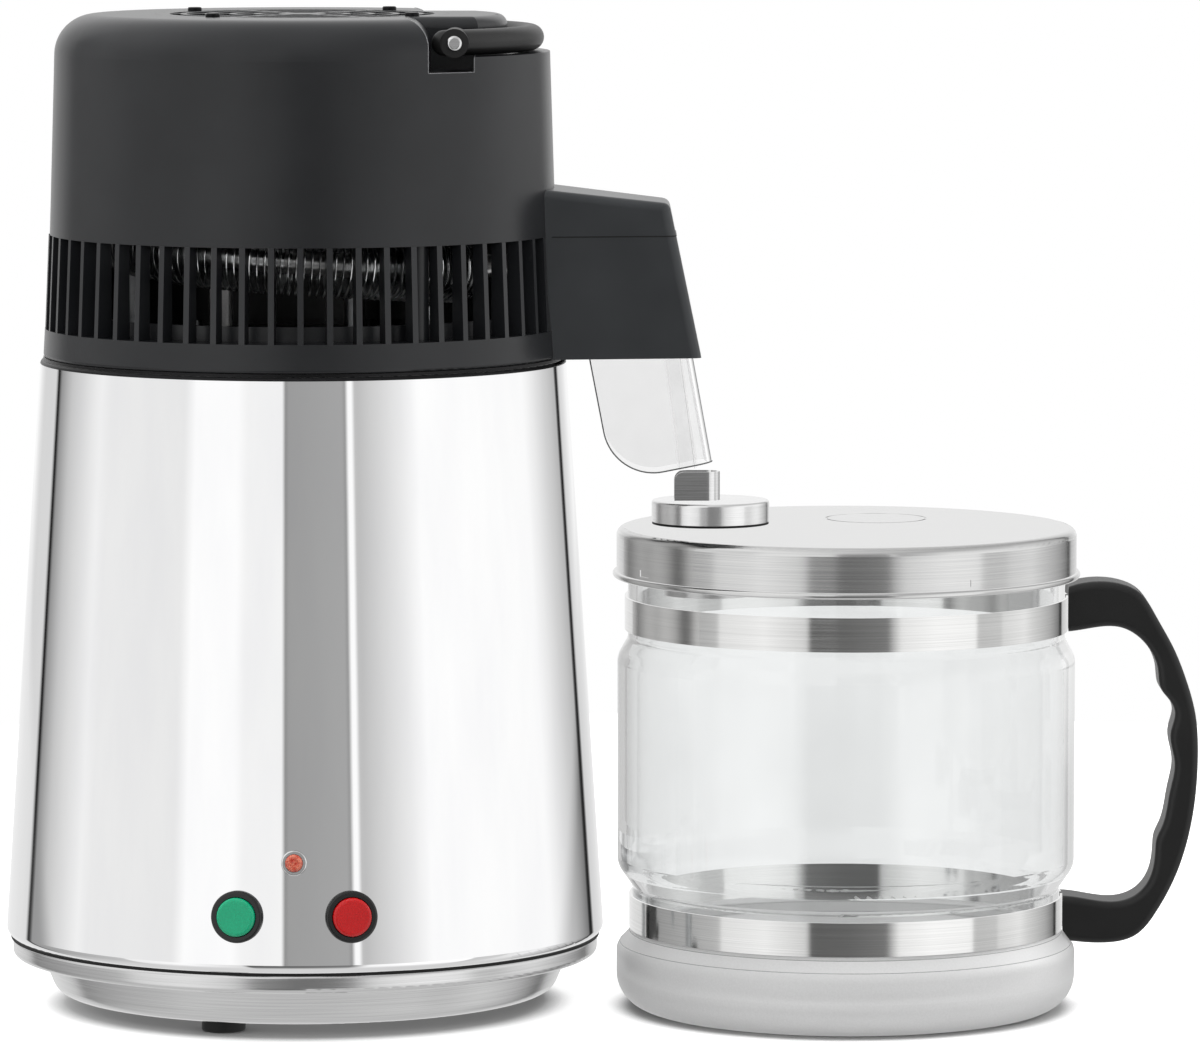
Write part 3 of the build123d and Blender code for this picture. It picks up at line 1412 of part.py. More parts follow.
# Carry handle and its two pivot screws
bail_end_angle = degrees(acos(bail_end_reach / bail_radius))
eye_inner = core_flat + pivot_boss_length + slide_gap
eye_outer = sqrt(bail_radius ** 2 - bail_pivot_reach ** 2) + bail_eye_overhang
with BuildPart() as carry_handle:
    with BuildSketch(radial_plane(-bail_end_angle, bail_level)):
        with Locations((bail_radius, 0)):
            Circle(bail_bar_radius)
    revolve(axis=boiler_axis, revolution_arc=2 * bail_end_angle)
    for side in (-1, 1):
        end_y = side * bail_radius * sin(radians(bail_end_angle))
        with Locations((boiler_x + bail_end_reach, end_y, bail_level)):
            Sphere(bail_bar_radius)
    for plane in pivot_planes:
        with BuildSketch(plane.offset(eye_inner - core_flat)):
            Circle(bail_eye_radius)
        extrude(amount=eye_outer - eye_inner)
    for plane in pivot_planes:
        with BuildSketch(plane):
            Circle(pivot_screw_radius + running_gap)
        extrude(amount=bail_radius, mode=Mode.SUBTRACT)
    for plane in pivot_planes:
        with BuildSketch(plane.offset(eye_outer - core_flat)):
            Circle(bail_eye_radius)
        extrude(amount=bail_radius, mode=Mode.SUBTRACT)
carry_handle.part.label = "carry_handle"
export_step(carry_handle.part, "parts/carry_handle.step")

head_planes = [plane.offset(eye_outer + slide_gap - core_flat) for plane in pivot_planes]
with BuildPart() as handle_screws:
    with BuildSketch(*head_planes):
        Circle(pivot_screw_head_radius)
    extrude(amount=pivot_screw_head_height)
    fillet(handle_screws.faces().sort_by(Axis.Y)[0].edges(), pivot_screw_head_round)
    fillet(handle_screws.faces().sort_by(Axis.Y)[-1].edges(), pivot_screw_head_round)
    with BuildSketch(*[plane.offset(pivot_screw_head_height) for plane in head_planes]):
        Rectangle(pivot_screw_slot_length, pivot_screw_slot_width)
        Rectangle(pivot_screw_slot_width, pivot_screw_slot_length)
    extrude(amount=-pivot_screw_slot_depth, mode=Mode.SUBTRACT)
    with BuildSketch(*head_planes):
        Circle(pivot_screw_radius)
    extrude(amount=core_flat - eye_outer - slide_gap - pivot_screw_grip + seat_gap)
handle_screws.part.label = "handle_screws"
export_step(handle_screws.part, "parts/handle_screws.step")

# Carafe: glass jar with a thick foot, a waist and a neck
jar_inner = {name: radius - jar_wall for name, radius in
             (("neck", jar_neck_radius), ("belly", jar_belly_radius), ("waist", jar_waist_radius))}
ramp_level = jar_rim_level - ramp_below_rim
with BuildPart() as glass_jar:
    revolve(outline(carafe_side, [
        (0, 0, 0),
        (jar_foot_radius, 0, jar_foot_round),
        (jar_foot_radius, jar_foot_height, jar_foot_shoulder_round),
        (jar_waist_radius, jar_waist_low, jar_waist_round),
        (jar_waist_radius, jar_waist_high, jar_waist_round),
        (jar_belly_radius, jar_belly_low, jar_belly_round),
        (jar_belly_radius, jar_belly_high, jar_belly_round),
        (jar_neck_radius, jar_neck_low, jar_waist_round),
        (jar_neck_radius, jar_rim_level, jar_rim_round),
        (jar_inner["neck"], jar_rim_level, jar_rim_round),
        (jar_inner["neck"], jar_neck_low, jar_waist_round),
        (jar_inner["belly"], jar_belly_high, jar_belly_round),
        (jar_inner["belly"], jar_belly_low, jar_belly_round),
        (jar_inner["waist"], jar_waist_high, jar_waist_round),
        (jar_inner["waist"], jar_floor, jar_floor_round),
        (0, jar_floor, 0)]), axis=carafe_axis)
    for index in range(lug_count):
        start_angle = first_lug_angle + 360 * index / lug_count - ramp_sweep / 2
        revolve(outline(radial_plane(start_angle, 0, carafe_x, carafe_y), [
            (jar_neck_radius - seat_gap, ramp_level, 0),
            (jar_neck_radius + ramp_depth, ramp_level, 0),
            (jar_neck_radius + ramp_depth, ramp_level + ramp_height / 2, 0),
            (jar_neck_radius - seat_gap, ramp_level + ramp_height, 0)]),
            axis=carafe_axis, revolution_arc=ramp_sweep)
glass_jar.part.label = "glass_jar"
export_step(glass_jar.part, "parts/glass_jar.step")

# Two clamp bands whose tabs run into the handle, with a cross screw each
band_places = {"upper_band": (jar_neck_radius, upper_band_level),
               "lower_band": (jar_waist_radius, lower_band_level)}
for name, (neck_radius, level) in band_places.items():
    inner = neck_radius + band_gap
    middle = level + band_width / 2
    with BuildPart() as band:
        revolve(ring_outline(carafe_side, inner, inner + band_thickness, level, level + band_width),
                axis=carafe_axis)
        with BuildSketch(carafe_plan(level)):
            Rectangle(inner + band_thickness + overrun, band_tab_gap, align=(Align.MIN, Align.CENTER))
        extrude(amount=band_width, mode=Mode.SUBTRACT)
        tab_offset = (band_tab_gap + band_thickness) / 2
        with BuildSketch(carafe_plan(middle)):
            with Locations((inner, -tab_offset), (inner, tab_offset)):
                Rectangle(band_tab_length, band_thickness, align=(Align.MIN, Align.CENTER))
        extrude(amount=band_tab_width / 2, both=True)
        with BuildSketch(Plane((carafe_x + inner + band_tab_length - band_screw_inset, carafe_y, middle),
                               x_dir=(1, 0, 0), z_dir=(0, -1, 0))):
            Circle(band_screw_radius + seat_gap)
        extrude(amount=band_tab_gap, both=True, mode=Mode.SUBTRACT)
    band.part.label = name
    export_step(band.part, f"parts/{name}.step")

screw_places = [(neck_radius + band_gap + band_tab_length - band_screw_inset, level + band_width / 2)
                for neck_radius, level in band_places.values()]
screw_seats = [Plane((carafe_x + reach, carafe_y + band_screw_seat, level), x_dir=(1, 0, 0), z_dir=(0, 1, 0))
               for reach, level in screw_places]
with BuildPart() as band_screws:
    with BuildSketch(*screw_seats):
        Circle(band_screw_head_radius)
    extrude(amount=band_screw_head_height)
    with BuildSketch(*screw_seats):
        Circle(band_screw_radius)
    extrude(amount=-2 * band_screw_seat)
band_screws.part.label = "band_screws"
export_step(band_screws.part, "parts/band_screws.step")


def grip_share(up):
    low, high = handle_grip_shares
    return min(max((up - low) / (high - low), 0), 1)


def handle_points(reach_shares, rise_shares):
    stretch = handle_rise - handle_pattern_rise
    levels = [handle_bottom + handle_pattern_rise * up + stretch * grip_share(up) for up in rise_shares]
    return [(handle_reach * out, level) for out, level in zip(reach_shares, levels)]


outer_points = handle_points(handle_outer_reach_shares, handle_outer_rise_shares)
inner_points = handle_points(handle_inner_reach_shares, handle_inner_rise_shares)
upper_band_outer = jar_neck_radius + band_gap + band_thickness + slide_gap
lower_band_outer = jar_waist_radius + band_gap + band_thickness + slide_gap
thumb_out = Vector(handle_thumb_way_share, 0, sqrt(1 - handle_thumb_way_share ** 2))
thumb_point = Vector(carafe_x + handle_reach * thumb_reach_share, carafe_y,
                     handle_bottom + handle_rise * thumb_rise_share)
with BuildPart() as carafe_handle:
    with BuildSketch(carafe_side):
        with BuildLine():
            Spline(*outer_points)
            Line(outer_points[-1], inner_points[0])
            Spline(*inner_points)
            Line(inner_points[-1], outer_points[0])
        make_face()
    extrude(amount=handle_half_width, both=True)
    long_edges = carafe_handle.edges().filter_by(
        lambda edge: edge.length > 2 * handle_rise / 3 and abs(edge.center().Y - carafe_y) > slide_gap)
    fillet(long_edges, handle_edge_round)
    revolve(outline(carafe_side, [
        (0, 0, 0),
        (jar_foot_radius + slide_gap, 0, 0),
        (jar_foot_radius + slide_gap, jar_foot_height + slide_gap, 0),
        (lower_band_outer, jar_waist_low + slide_gap, 0),
        (lower_band_outer, jar_waist_high, 0),
        (jar_belly_radius + slide_gap, jar_belly_low, 0),
        (jar_belly_radius + slide_gap, jar_belly_high, 0),
        (upper_band_outer, jar_neck_low, 0),
        (upper_band_outer, jar_rim_level, 0),
        (0, jar_rim_level, 0)]), axis=carafe_axis, mode=Mode.SUBTRACT)
    for (reach, level), seat in zip(screw_places, screw_seats):
        slot_end = reach + band_screw_inset + handle_slot_gap
        slot_width = band_tab_gap + 2 * band_thickness + 2 * handle_slot_gap
        with BuildSketch(carafe_plan(level)):
            Rectangle(slot_end, slot_width, align=(Align.MIN, Align.CENTER))
        extrude(amount=band_tab_width / 2 + handle_slot_gap, both=True, mode=Mode.SUBTRACT)
        with BuildSketch(seat):
            Circle(band_screw_radius + seat_gap)
        extrude(amount=-2 * band_screw_seat - seat_gap, mode=Mode.SUBTRACT)
        with BuildSketch(seat):
            Circle(band_screw_head_radius + seat_gap)
        extrude(amount=handle_half_width, mode=Mode.SUBTRACT)
    with BuildSketch(Plane(thumb_point, x_dir=(-thumb_out.Z, 0, thumb_out.X), z_dir=thumb_out)):
        SlotOverall(handle_thumb_length, handle_thumb_width)
    extrude(amount=handle_thumb_depth, both=True, mode=Mode.SUBTRACT)
carafe_handle.part.label = "carafe_handle"
export_step(carafe_handle.part, "parts/carafe_handle.step")

# Carafe lid with a rolled bead, twist lugs and the filter opening
lid_top = jar_rim_level + lid_rim_gap
lid_bottom = lid_top - lid_height
filter_x = carafe_x + filter_reach
filter_y = carafe_y + filter_setback


def filter_plan(level):
    return Plane((filter_x, filter_y, level))


with BuildPart() as jar_lid:
    revolve(outline(carafe_side, [
        (0, lid_top, 0),
        (lid_radius, lid_top, lid_edge_round),
        (lid_radius, lid_bottom + bead_height, 0),
        (bead_radius, lid_bottom + bead_height, bead_round),
        (bead_radius, lid_bottom, bead_round),
        (lid_radius - lid_wall, lid_bottom, 0),
        (lid_radius - lid_wall, lid_top - lid_wall, lid_edge_round - lid_wall),
        (0, lid_top - lid_wall, 0)]), axis=carafe_axis)
    for index in range(lug_count):
        start_angle = first_lug_angle + 360 * index / lug_count - lug_sweep / 2
        revolve(ring_outline(radial_plane(start_angle, 0, carafe_x, carafe_y),
                             lid_radius - lid_wall - lug_depth, lid_radius - lid_wall + seat_gap,
                             lid_bottom + lug_lift, lid_bottom + lug_lift + lug_height),
                axis=carafe_axis, revolution_arc=lug_sweep)
    dent_level = lid_bottom + bead_height + dent_height
    dent_planes = [radial_plane(first_lug_angle + 360 * index / lug_count, dent_level, carafe_x, carafe_y)
                   for index in range(lug_count)]
    with BuildSketch(*dent_planes):
        with Locations((lid_radius, 0)):
            Rectangle(2 * dent_depth, dent_height)
    extrude(amount=dent_width / 2, both=True, mode=Mode.SUBTRACT)
    with BuildSketch(filter_plan(lid_top)):
        Circle(filter_hole_radius)
    extrude(amount=-lid_wall - overrun, mode=Mode.SUBTRACT)
    with BuildSketch(Plane((carafe_x + emboss_reach, carafe_y + emboss_setback, lid_top))):
        Circle(emboss_radius)
        Circle(emboss_radius - emboss_line, mode=Mode.SUBTRACT)
    extrude(amount=-emboss_depth, mode=Mode.SUBTRACT)
jar_lid.part.label = "jar_lid"
export_step(jar_lid.part, "parts/jar_lid.step")

with BuildPart() as lid_gasket:
    gasket_outer = lid_radius - lid_wall - slide_gap
    revolve(ring_outline(carafe_side, gasket_outer - lid_gasket_width, gasket_outer,
                         jar_rim_level + slide_gap, lid_top - lid_wall - seat_gap), axis=carafe_axis)
    fillet(lid_gasket.faces().sort_by(Axis.Z)[-1].edges().sort_by(SortBy.RADIUS)[-1:], gasket_round)
lid_gasket.part.label = "lid_gasket"
export_step(lid_gasket.part, "parts/lid_gasket.step")

# Charcoal filter that drops through the lid under the spout
seal_top = lid_top + filter_seal_height
flange_top = seal_top + basket_flange_thickness
cap_bottom = seal_top + seat_gap
cap_top = lid_top + filter_stack_height
with BuildPart() as filter_seal:
    with BuildSketch(filter_plan(lid_top)):
        Circle(filter_cap_radius - filter_cap_step)
        Circle(filter_hole_radius + slide_gap, mode=Mode.SUBTRACT)
    extrude(amount=filter_seal_height)
filter_seal.part.label = "filter_seal"
export_step(filter_seal.part, "parts/filter_seal.step")

with BuildPart() as filter_basket:
    with BuildSketch(filter_plan(seal_top)):
        Circle(basket_flange_radius)
    extrude(amount=basket_flange_thickness)
    with BuildSketch(filter_plan(seal_top)):
        Circle(basket_radius)
    extrude(amount=-basket_depth)
    with BuildSketch(filter_plan(flange_top)):
        Circle(basket_radius - basket_wall)
    extrude(amount=basket_wall - basket_depth - basket_flange_thickness, mode=Mode.SUBTRACT)
    with BuildSketch(filter_plan(seal_top - basket_depth)):
        Circle(basket_hole_radius)
        with PolarLocations(basket_hole_circle_radius, basket_hole_count):
            Circle(basket_hole_radius)
    extrude(amount=basket_wall + overrun, both=True, mode=Mode.SUBTRACT)
filter_basket.part.label = "filter_basket"
export_step(filter_basket.part, "parts/filter_basket.step")

with BuildPart() as charcoal_pod:
    with BuildSketch(filter_plan(seal_top - basket_depth + basket_wall + seat_gap)):
        Circle(basket_radius - basket_wall - slide_gap)
    extrude(amount=pod_height)
    fillet(charcoal_pod.edges().group_by(Axis.Z)[-1], pod_round)
charcoal_pod.part.label = "charcoal_pod"
export_step(charcoal_pod.part, "parts/charcoal_pod.step")

with BuildPart() as filter_cap:
    with BuildSketch(filter_plan(cap_bottom)):
        Circle(filter_cap_radius)
    extrude(amount=cap_top - cap_bottom)
    fillet(filter_cap.edges().group_by(Axis.Z)[-1], filter_cap_round)
    with BuildSketch(filter_plan(cap_bottom)):
        Circle(basket_flange_radius + seat_gap)
    extrude(amount=cap_top - cap_bottom - filter_cap_wall, mode=Mode.SUBTRACT)
    with BuildSketch(filter_plan(cap_top)):
        with Locations((outlet_tip_reach - boiler_to_carafe_reach - filter_reach, 0)):
            Circle(filter_inlet_radius)
    extrude(amount=-filter_cap_wall - overrun, mode=Mode.SUBTRACT)
filter_cap.part.label = "filter_cap"
export_step(filter_cap.part, "parts/filter_cap.step")

# U-shaped guide on the cap, open towards the boiler
guide_half = guide_width / 2
guide_left = guide_offset - guide_length / 2
guide_bend = guide_offset + guide_length / 2 - guide_half
with BuildPart() as spout_guide:
    with BuildSketch(filter_plan(cap_top)):
        with Locations((guide_bend, 0)):
            Circle(guide_half)
        with Locations((guide_left, 0)):
            Rectangle(guide_bend - guide_left, guide_width, align=(Align.MIN, Align.CENTER))
        with Locations((guide_bend, 0)):
            Circle(guide_half - guide_thickness, mode=Mode.SUBTRACT)
        with Locations((guide_left, 0)):
            Rectangle(guide_bend - guide_left, guide_width - 2 * guide_thickness,
                      align=(Align.MIN, Align.CENTER), mode=Mode.SUBTRACT)
    extrude(amount=guide_height)
    left_edges = spout_guide.edges().filter_by(Axis.Y).group_by(Axis.X)[0]
    fillet(left_edges.group_by(Axis.Z)[-1], guide_corner_round)
spout_guide.part.label = "spout_guide"
export_step(spout_guide.part, "parts/spout_guide.step")
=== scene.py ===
import math

import bmesh
import bpy
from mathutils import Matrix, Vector


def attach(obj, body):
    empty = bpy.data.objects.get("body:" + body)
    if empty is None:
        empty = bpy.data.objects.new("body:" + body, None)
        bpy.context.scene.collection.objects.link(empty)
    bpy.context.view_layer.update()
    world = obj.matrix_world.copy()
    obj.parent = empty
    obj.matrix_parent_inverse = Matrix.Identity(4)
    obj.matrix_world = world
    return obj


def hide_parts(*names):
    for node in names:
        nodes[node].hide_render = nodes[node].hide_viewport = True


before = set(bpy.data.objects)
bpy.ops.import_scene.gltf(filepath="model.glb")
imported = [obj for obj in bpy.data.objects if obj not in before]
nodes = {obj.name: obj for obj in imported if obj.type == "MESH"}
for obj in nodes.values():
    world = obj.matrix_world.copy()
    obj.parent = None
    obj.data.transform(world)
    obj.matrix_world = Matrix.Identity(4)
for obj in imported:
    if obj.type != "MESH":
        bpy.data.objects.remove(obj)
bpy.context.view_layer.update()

scene = bpy.context.scene
scene.view_settings.view_transform = "Standard"
mm = 0.001
fullTurn = 2 * math.pi
print("frame loaded:", len(nodes), "nodes")

# axes of the two vessels, in mm
places = {"boilerX": -109.6, "carafeX": 90.9, "carafeY": -12.0}


def linear(hexText):
    # sRGB hex to the linear values that shaders take
    parts = [int(hexText[i:i + 2], 16) / 255 for i in (1, 3, 5)]
    return [p / 12.92 if p <= 0.04045 else ((p + 0.055) / 1.055) ** 2.4 for p in parts] + [1.0]


def addNode(tree, kind, values=None, links=None, feeds=None, stops=None, **settings):
    # one node with its settings, socket values, incoming links, the sockets it feeds and its ramp's stops
    node = tree.nodes.new(kind)
    for name, value in settings.items():
        setattr(node, name, value)
    for name, value in (values or {}).items():
        node.inputs[name].default_value = value
    for name, source in (links or {}).items():
        tree.links.new(source, node.inputs[name])
    for name, socket in (feeds or {}).items():
        tree.links.new(node.outputs[name], socket)
    for index, (place, colour) in enumerate(stops or []):
        elements = node.color_ramp.elements
        element = elements[index] if index < len(elements) else elements.new(place)
        element.position, element.color = place, colour
    return node


materials = {}


def newMaterial(name, values):
    # a principled material; the values go straight on the shader's own sockets
    material = materials[name] = bpy.data.materials.new(name)
    material.use_nodes = True
    shader = material.node_tree.nodes["Principled BSDF"]
    for socket, value in values.items():
        shader.inputs[socket].default_value = value
    return material.node_tree, shader.inputs


def grain(tree, cellMm, detail=3.0, stretch=(1.0, 1.0, 1.0)):
    # noise in real size: a cell is cellMm across, longer along an axis by its stretch
    coords = addNode(tree, "ShaderNodeTexCoord")
    scaled = addNode(tree, "ShaderNodeMapping", {"Scale": [1 / (cellMm * mm * s) for s in stretch]},
                     {"Vector": coords.outputs["Object"]})
    noise = addNode(tree, "ShaderNodeTexNoise", {"Scale": 1.0, "Detail": detail},
                    {"Vector": scaled.outputs["Vector"]})
    return noise.outputs["Fac"]


toneStops = (0.3, 0.7)  # where in the noise the first tone ends and the second begins


def surface(tree, inputs, pattern, tones=None, rough=None, reliefMm=0.0):
    # one pattern drives the colour, the roughness and the relief of a material
    if tones:
        addNode(tree, "ShaderNodeValToRGB", links={"Fac": pattern}, feeds={"Color": inputs["Base Color"]},
                stops=[(place, linear(tone)) for place, tone in zip(toneStops, tones)])
    if rough:
        addNode(tree, "ShaderNodeMapRange", {"To Min": rough[0], "To Max": rough[1]}, {"Value": pattern},
                {"Result": inputs["Roughness"]})
    if reliefMm:
        addNode(tree, "ShaderNodeBump", {"Strength": 1.0, "Distance": reliefMm * mm}, {"Height": pattern},
                {"Normal": inputs["Normal"]})


# stainless sheet, spun and buffed: a mirror with faint smears down its height
polish = {"tones": ("#efeff0", "#f4f4f4"), "rough": (0.025, 0.05), "smearMm": 14.0, "smearLength": 6.0,
          "detail": 4.0}
tree, inputs = newMaterial("polishedStainless", {"Metallic": 1.0})
smears = grain(tree, polish["smearMm"], polish["detail"], (1.0, 1.0, polish["smearLength"]))
surface(tree, inputs, smears, polish["tones"], polish["rough"])

# worked steel: fine scratches drawn out along the tool's way. They are drawn wider than real ones,
# so that they show in the picture
brush = {"scratchMm": 0.35, "detail": 2.0, "brushedLength": 160.0, "turnedLength": 60.0}
straight = (brush["brushedLength"], 1.0, 1.0)
aroundBand = (brush["brushedLength"], brush["brushedLength"], 1.0)
aroundPin = (brush["turnedLength"], brush["turnedLength"], 1.0)
even = (1.0, 1.0, 1.0)
sheets = {  # the scratches' stretch, two tones, roughness from and to, relief in mm
    "brushedStainlessLid": (straight, ("#c8c8c8", "#d6d6d5"), (0.14, 0.2), 0.004),  # streaks across the top
    "brushedStainlessSkirt": (aroundBand, ("#cbcbcb", "#d9d9d8"), (0.12, 0.18), 0.003),  # streaks run round
    "brushedStainlessBand": (aroundBand, ("#dcdcdb", "#e8e8e7"), (0.06, 0.12), 0.003),  # brighter, sharper
    "brushedStainlessPan": (aroundBand, ("#cfcfcf", "#dedede"), (0.18, 0.26), 0.004),  # soft reflections
    "rolledStainless": (even, ("#bdbcbb", "#d0d0d0"), (0.25, 0.4), 0.008),  # mill finish, even and dull
    "pressedLineShadeSteel": (even, ("#6f6f6f", "#808080"), (0.3, 0.45), 0.004),  # grey: painted shade for the front half of the line pressed into the lid
    "turnedSteel": (aroundPin, ("#d8d8d8", "#e4e4e4"), (0.05, 0.12), 0.002),  # bright rings from the lathe
    "buffedSteel": (aroundPin, ("#e2e2e2", "#ececec"), (0.15, 0.22), 0.002),  # pale with soft highlights
    "blackedSteelAndPaintedShade": (even, ("#232324", "#2d2d2e"), (0.3, 0.42), 0.003),  # near black, faint highlights; also laid on rims under the head as painted shade
}
for name, (stretch, tones, rough, reliefMm) in sheets.items():
    tree, inputs = newMaterial(name, {"Metallic": 1.0})
    surface(tree, inputs, grain(tree, brush["scratchMm"], brush["detail"], stretch), tones, rough, reliefMm)

clouded = {  # cloud in mm and its detail, two tones, roughness from and to
    "zincPlatedSteel": (6.0, 4.0, ("#a9abad", "#c6c8c9"), (0.25, 0.42)),  # cloudy grey
    "rolledAluminium": (4.0, 3.0, ("#dfe0e1", "#eceded"), (0.12, 0.26)),  # bright, slightly dull in places
    "nickelBrass": (1.5, 3.0, ("#bfae7e", "#c9b98a"), (0.2, 0.35)),  # pale yellow
}
for name, (cloudMm, detail, tones, rough) in clouded.items():
    tree, inputs = newMaterial(name, {"Metallic": 1.0})
    surface(tree, inputs, grain(tree, cloudMm, detail), tones, rough)

# moulded plastics: a spark-eroded mould leaves a fine even pebble that breaks up the gloss,
# and the melt's flow leaves faint clouds
moulding = {"ior": 1.5, "cloudMm": 25.0, "roughSpread": 0.05}
plastics = {  # two tones, roughness, pebble and its depth in mm, specular level
    "charcoalAbs": (("#151618", "#1a1b1d"), 0.3, 0.45, 0.012, 0.4),  # satin, nearly black
    "armPaintedLightAbs": (("#242628", "#2a2c2e"), 0.3, 0.45, 0.012, 0.4),  # the same plastic a shade paler: painted light on the arm
    "slatPaintedHighlightAbs": (("#17181a", "#1d1e20"), 0.3, 0.45, 0.01, 0.45),  # the same, a touch paler and shinier: painted highlight on the slats' outer edges
    "edgePaintedGlintAbs": (("#7c7d7f", "#98999b"), 0.3, 0.45, 0.01, 0.5),  # pale: painted glint on sharp edges
    "blackNylon": (("#131313", "#181818"), 0.4, 0.5, 0.03, 0.35),  # matt grips
    "blackPhenolic": (("#0d0d0d", "#121212"), 0.28, 0.8, 0.01, 0.5),  # hard, with a slight gloss
    "fanNylon": (("#141516", "#1a1b1d"), 0.45, 0.6, 0.02, 0.5),  # dull blades
    "blackRubber": (("#0a0a0a", "#101010"), 0.62, 0.7, 0.03, 0.3),  # dead matt
    "whiteSilicone": (("#d2d2ce", "#dcdcd8"), 0.5, 0.8, 0.02, 0.4),  # soft white seals
    "charcoalFelt": (("#141516", "#26272a"), 0.85, 0.9, 0.25, 0.1),  # dark and fuzzy
    "greenAbs": (("#008a62", "#00996d"), 0.27, 1.2, 0.01, 0.5),  # clean colour with a slight gloss
    "redAbs": (("#a80206", "#b80408"), 0.27, 1.2, 0.01, 0.5),  # clean colour with a slight gloss
}
for name, (tones, rough, pebbleMm, depthMm, specular) in plastics.items():
    tree, inputs = newMaterial(name, {"IOR": moulding["ior"], "Specular IOR Level": specular})
    surface(tree, inputs, grain(tree, moulding["cloudMm"]), tones)
    roughRange = (rough - moulding["roughSpread"], rough + moulding["roughSpread"])
    surface(tree, inputs, grain(tree, pebbleMm), None, roughRange, depthMm)

# glass and clear plastics. Those that are clear right through let the lamps' light pass,
# instead of casting a full shade
clears = {  # shader's values, pattern in mm and its detail, two tones, roughness from and to, relief in mm
    # orange-red lens with small prisms inside
    "lampPolycarbonate": ({"IOR": 1.58, "Transmission Weight": 0.35, "Roughness": 0.12}, 1.1, 2.0,
                          ("#c83a26", "#f08a6c"), None, 0.2),
    # see-through hood with fine scuffs
    "clearAcrylic": ({"IOR": 1.49, "Transmission Weight": 1.0}, 12.0, 4.0,
                     ("#f7f7f7", "#fafafa"), (0.0, 0.05), 0.0),
    # soft and very clear tube, which hardly bends what is behind it
    "clearSilicone": ({"IOR": 1.08, "Transmission Weight": 1.0}, 6.0, 3.0,
                      ("#fafafa", "#fefefe"), (0.0, 0.03), 0.0),
    # painted shade: a cut edge takes light in and looks grey, so a grey line stands in for it
    "acrylicEdgeShade": ({"IOR": 1.49}, 0.8, 3.0, ("#4c4d4d", "#5e5f5f"), (0.3, 0.4), 0.0),
    # soda glass with slow waves from the mould
    "blownGlass": ({"IOR": 1.5, "Transmission Weight": 1.0, "Roughness": 0.0}, 30.0, 1.0,
                   ("#f4f5f5", "#f7f8f8"), None, 0.05),
    # painted shade: glass seen edge on is greyer
    "glassEdgeShade": ({"IOR": 1.5}, 0.8, 3.0, ("#8c8d8d", "#9c9d9d"), (0.2, 0.3), 0.0),
    # etched with acid: it scatters light and looks milky
    "etchedGlass": ({"IOR": 1.5, "Transmission Weight": 0.3}, 0.7, 4.0,
                    ("#cfcfcf", "#d6d6d6"), (0.35, 0.5), 0.02),
}
for name, (values, cellMm, detail, tones, rough, reliefMm) in clears.items():
    tree, inputs = newMaterial(name, values)
    surface(tree, inputs, grain(tree, cellMm, detail), tones, rough, reliefMm)
    if values.get("Transmission Weight") == 1.0:
        rays = addNode(tree, "ShaderNodeLightPath")
        letThrough = addNode(tree, "ShaderNodeBsdfTransparent")
        addNode(tree, "ShaderNodeMixShader",
                links={0: rays.outputs["Is Shadow Ray"], 1: tree.nodes["Principled BSDF"].outputs["BSDF"],
                       2: letThrough.outputs["BSDF"]},
                feeds={"Shader": tree.nodes["Material Output"].inputs["Surface"]})
print("materials made:", len(materials))

finishes = {
    "polishedStainless": ["outer_shell"],
    "brushedStainlessPan": ["base_pan"],
    "brushedStainlessBand": ["upper_band", "lower_band"],
    "brushedStainlessLid": ["jar_lid"],
    "buffedSteel": ["filter_cap"],
    "turnedSteel": ["spout_guide", "pilot_bezel", "handle_screws"],
    "rolledStainless": ["pot_floor", "boiling_pot", "pot_rim", "chamber_lid", "filter_basket",
                        "condenser_coil"],
    "zincPlatedSteel": ["foot_screws", "heat_shield", "tie_rods", "heating_element", "boil_dry_thermostat",
                        "motor_bracket", "fan_motor", "motor_bearings", "motor_screws", "coil_supports",
                        "lid_screws", "housing_screws", "fan_shaft", "band_screws", "switch_nuts"],
    "blackedSteelAndPaintedShade": ["guard_screws"],
    "rolledAluminium": ["heater_plate", "condenser_fins"],
    "nickelBrass": ["inlet_pins"],
    "charcoalAbs": ["upper_housing", "lower_housing", "fan_guard"],
    "blackNylon": ["carry_handle", "carafe_handle"],
    "blackPhenolic": ["start_switch", "stop_switch", "mains_inlet", "fan_outlet", "terminal_block"],
    "fanNylon": ["fan_impeller"],
    "clearAcrylic": ["spout_shield"],
    "clearSilicone": ["outlet_tube"],
    "greenAbs": ["start_button"],
    "redAbs": ["stop_button"],
    "lampPolycarbonate": ["pilot_lens"],
    "blackRubber": ["rubber_feet", "base_seal", "fan_lead_gland", "filter_seal"],
    "whiteSilicone": ["chamber_gasket", "lid_gasket"],
    "blownGlass": ["glass_jar"],
    "charcoalFelt": ["charcoal_pod"],
}
for finish, names in finishes.items():
    for name in names:
        nodes[name].data.materials.clear()
        nodes[name].data.materials.append(materials[finish])


def refinish(name, finish, chosen):
    # the faces of a node that are chosen, by their centre in mm and their normal, take one more material
    mesh = nodes[name].data
    mesh.materials.append(materials[finish])
    for face in mesh.polygons:
        if chosen(mesh, face, face.center / mm, face.normal):
            face.material_index = len(mesh.materials) - 1


# the jar's outside is etched from its sole up to the waist
etched = {"top": 30.9, "innerReach": 76.5, "upward": 0.9, "sole": 10.0, "downward": -0.5}


def isEtched(mesh, face, centre, normal):
    highest = max(mesh.vertices[index].co.z for index in face.vertices) / mm
    reach = math.hypot(centre.x - places["carafeX"], centre.y - places["carafeY"])
    outside = reach > etched["innerReach"] and normal.z < etched["upward"]
    sole = highest < etched["sole"] and normal.z < etched["downward"]
    return highest < etched["top"] and (outside or sole)


refinish("glass_jar", "etchedGlass", isEtched)

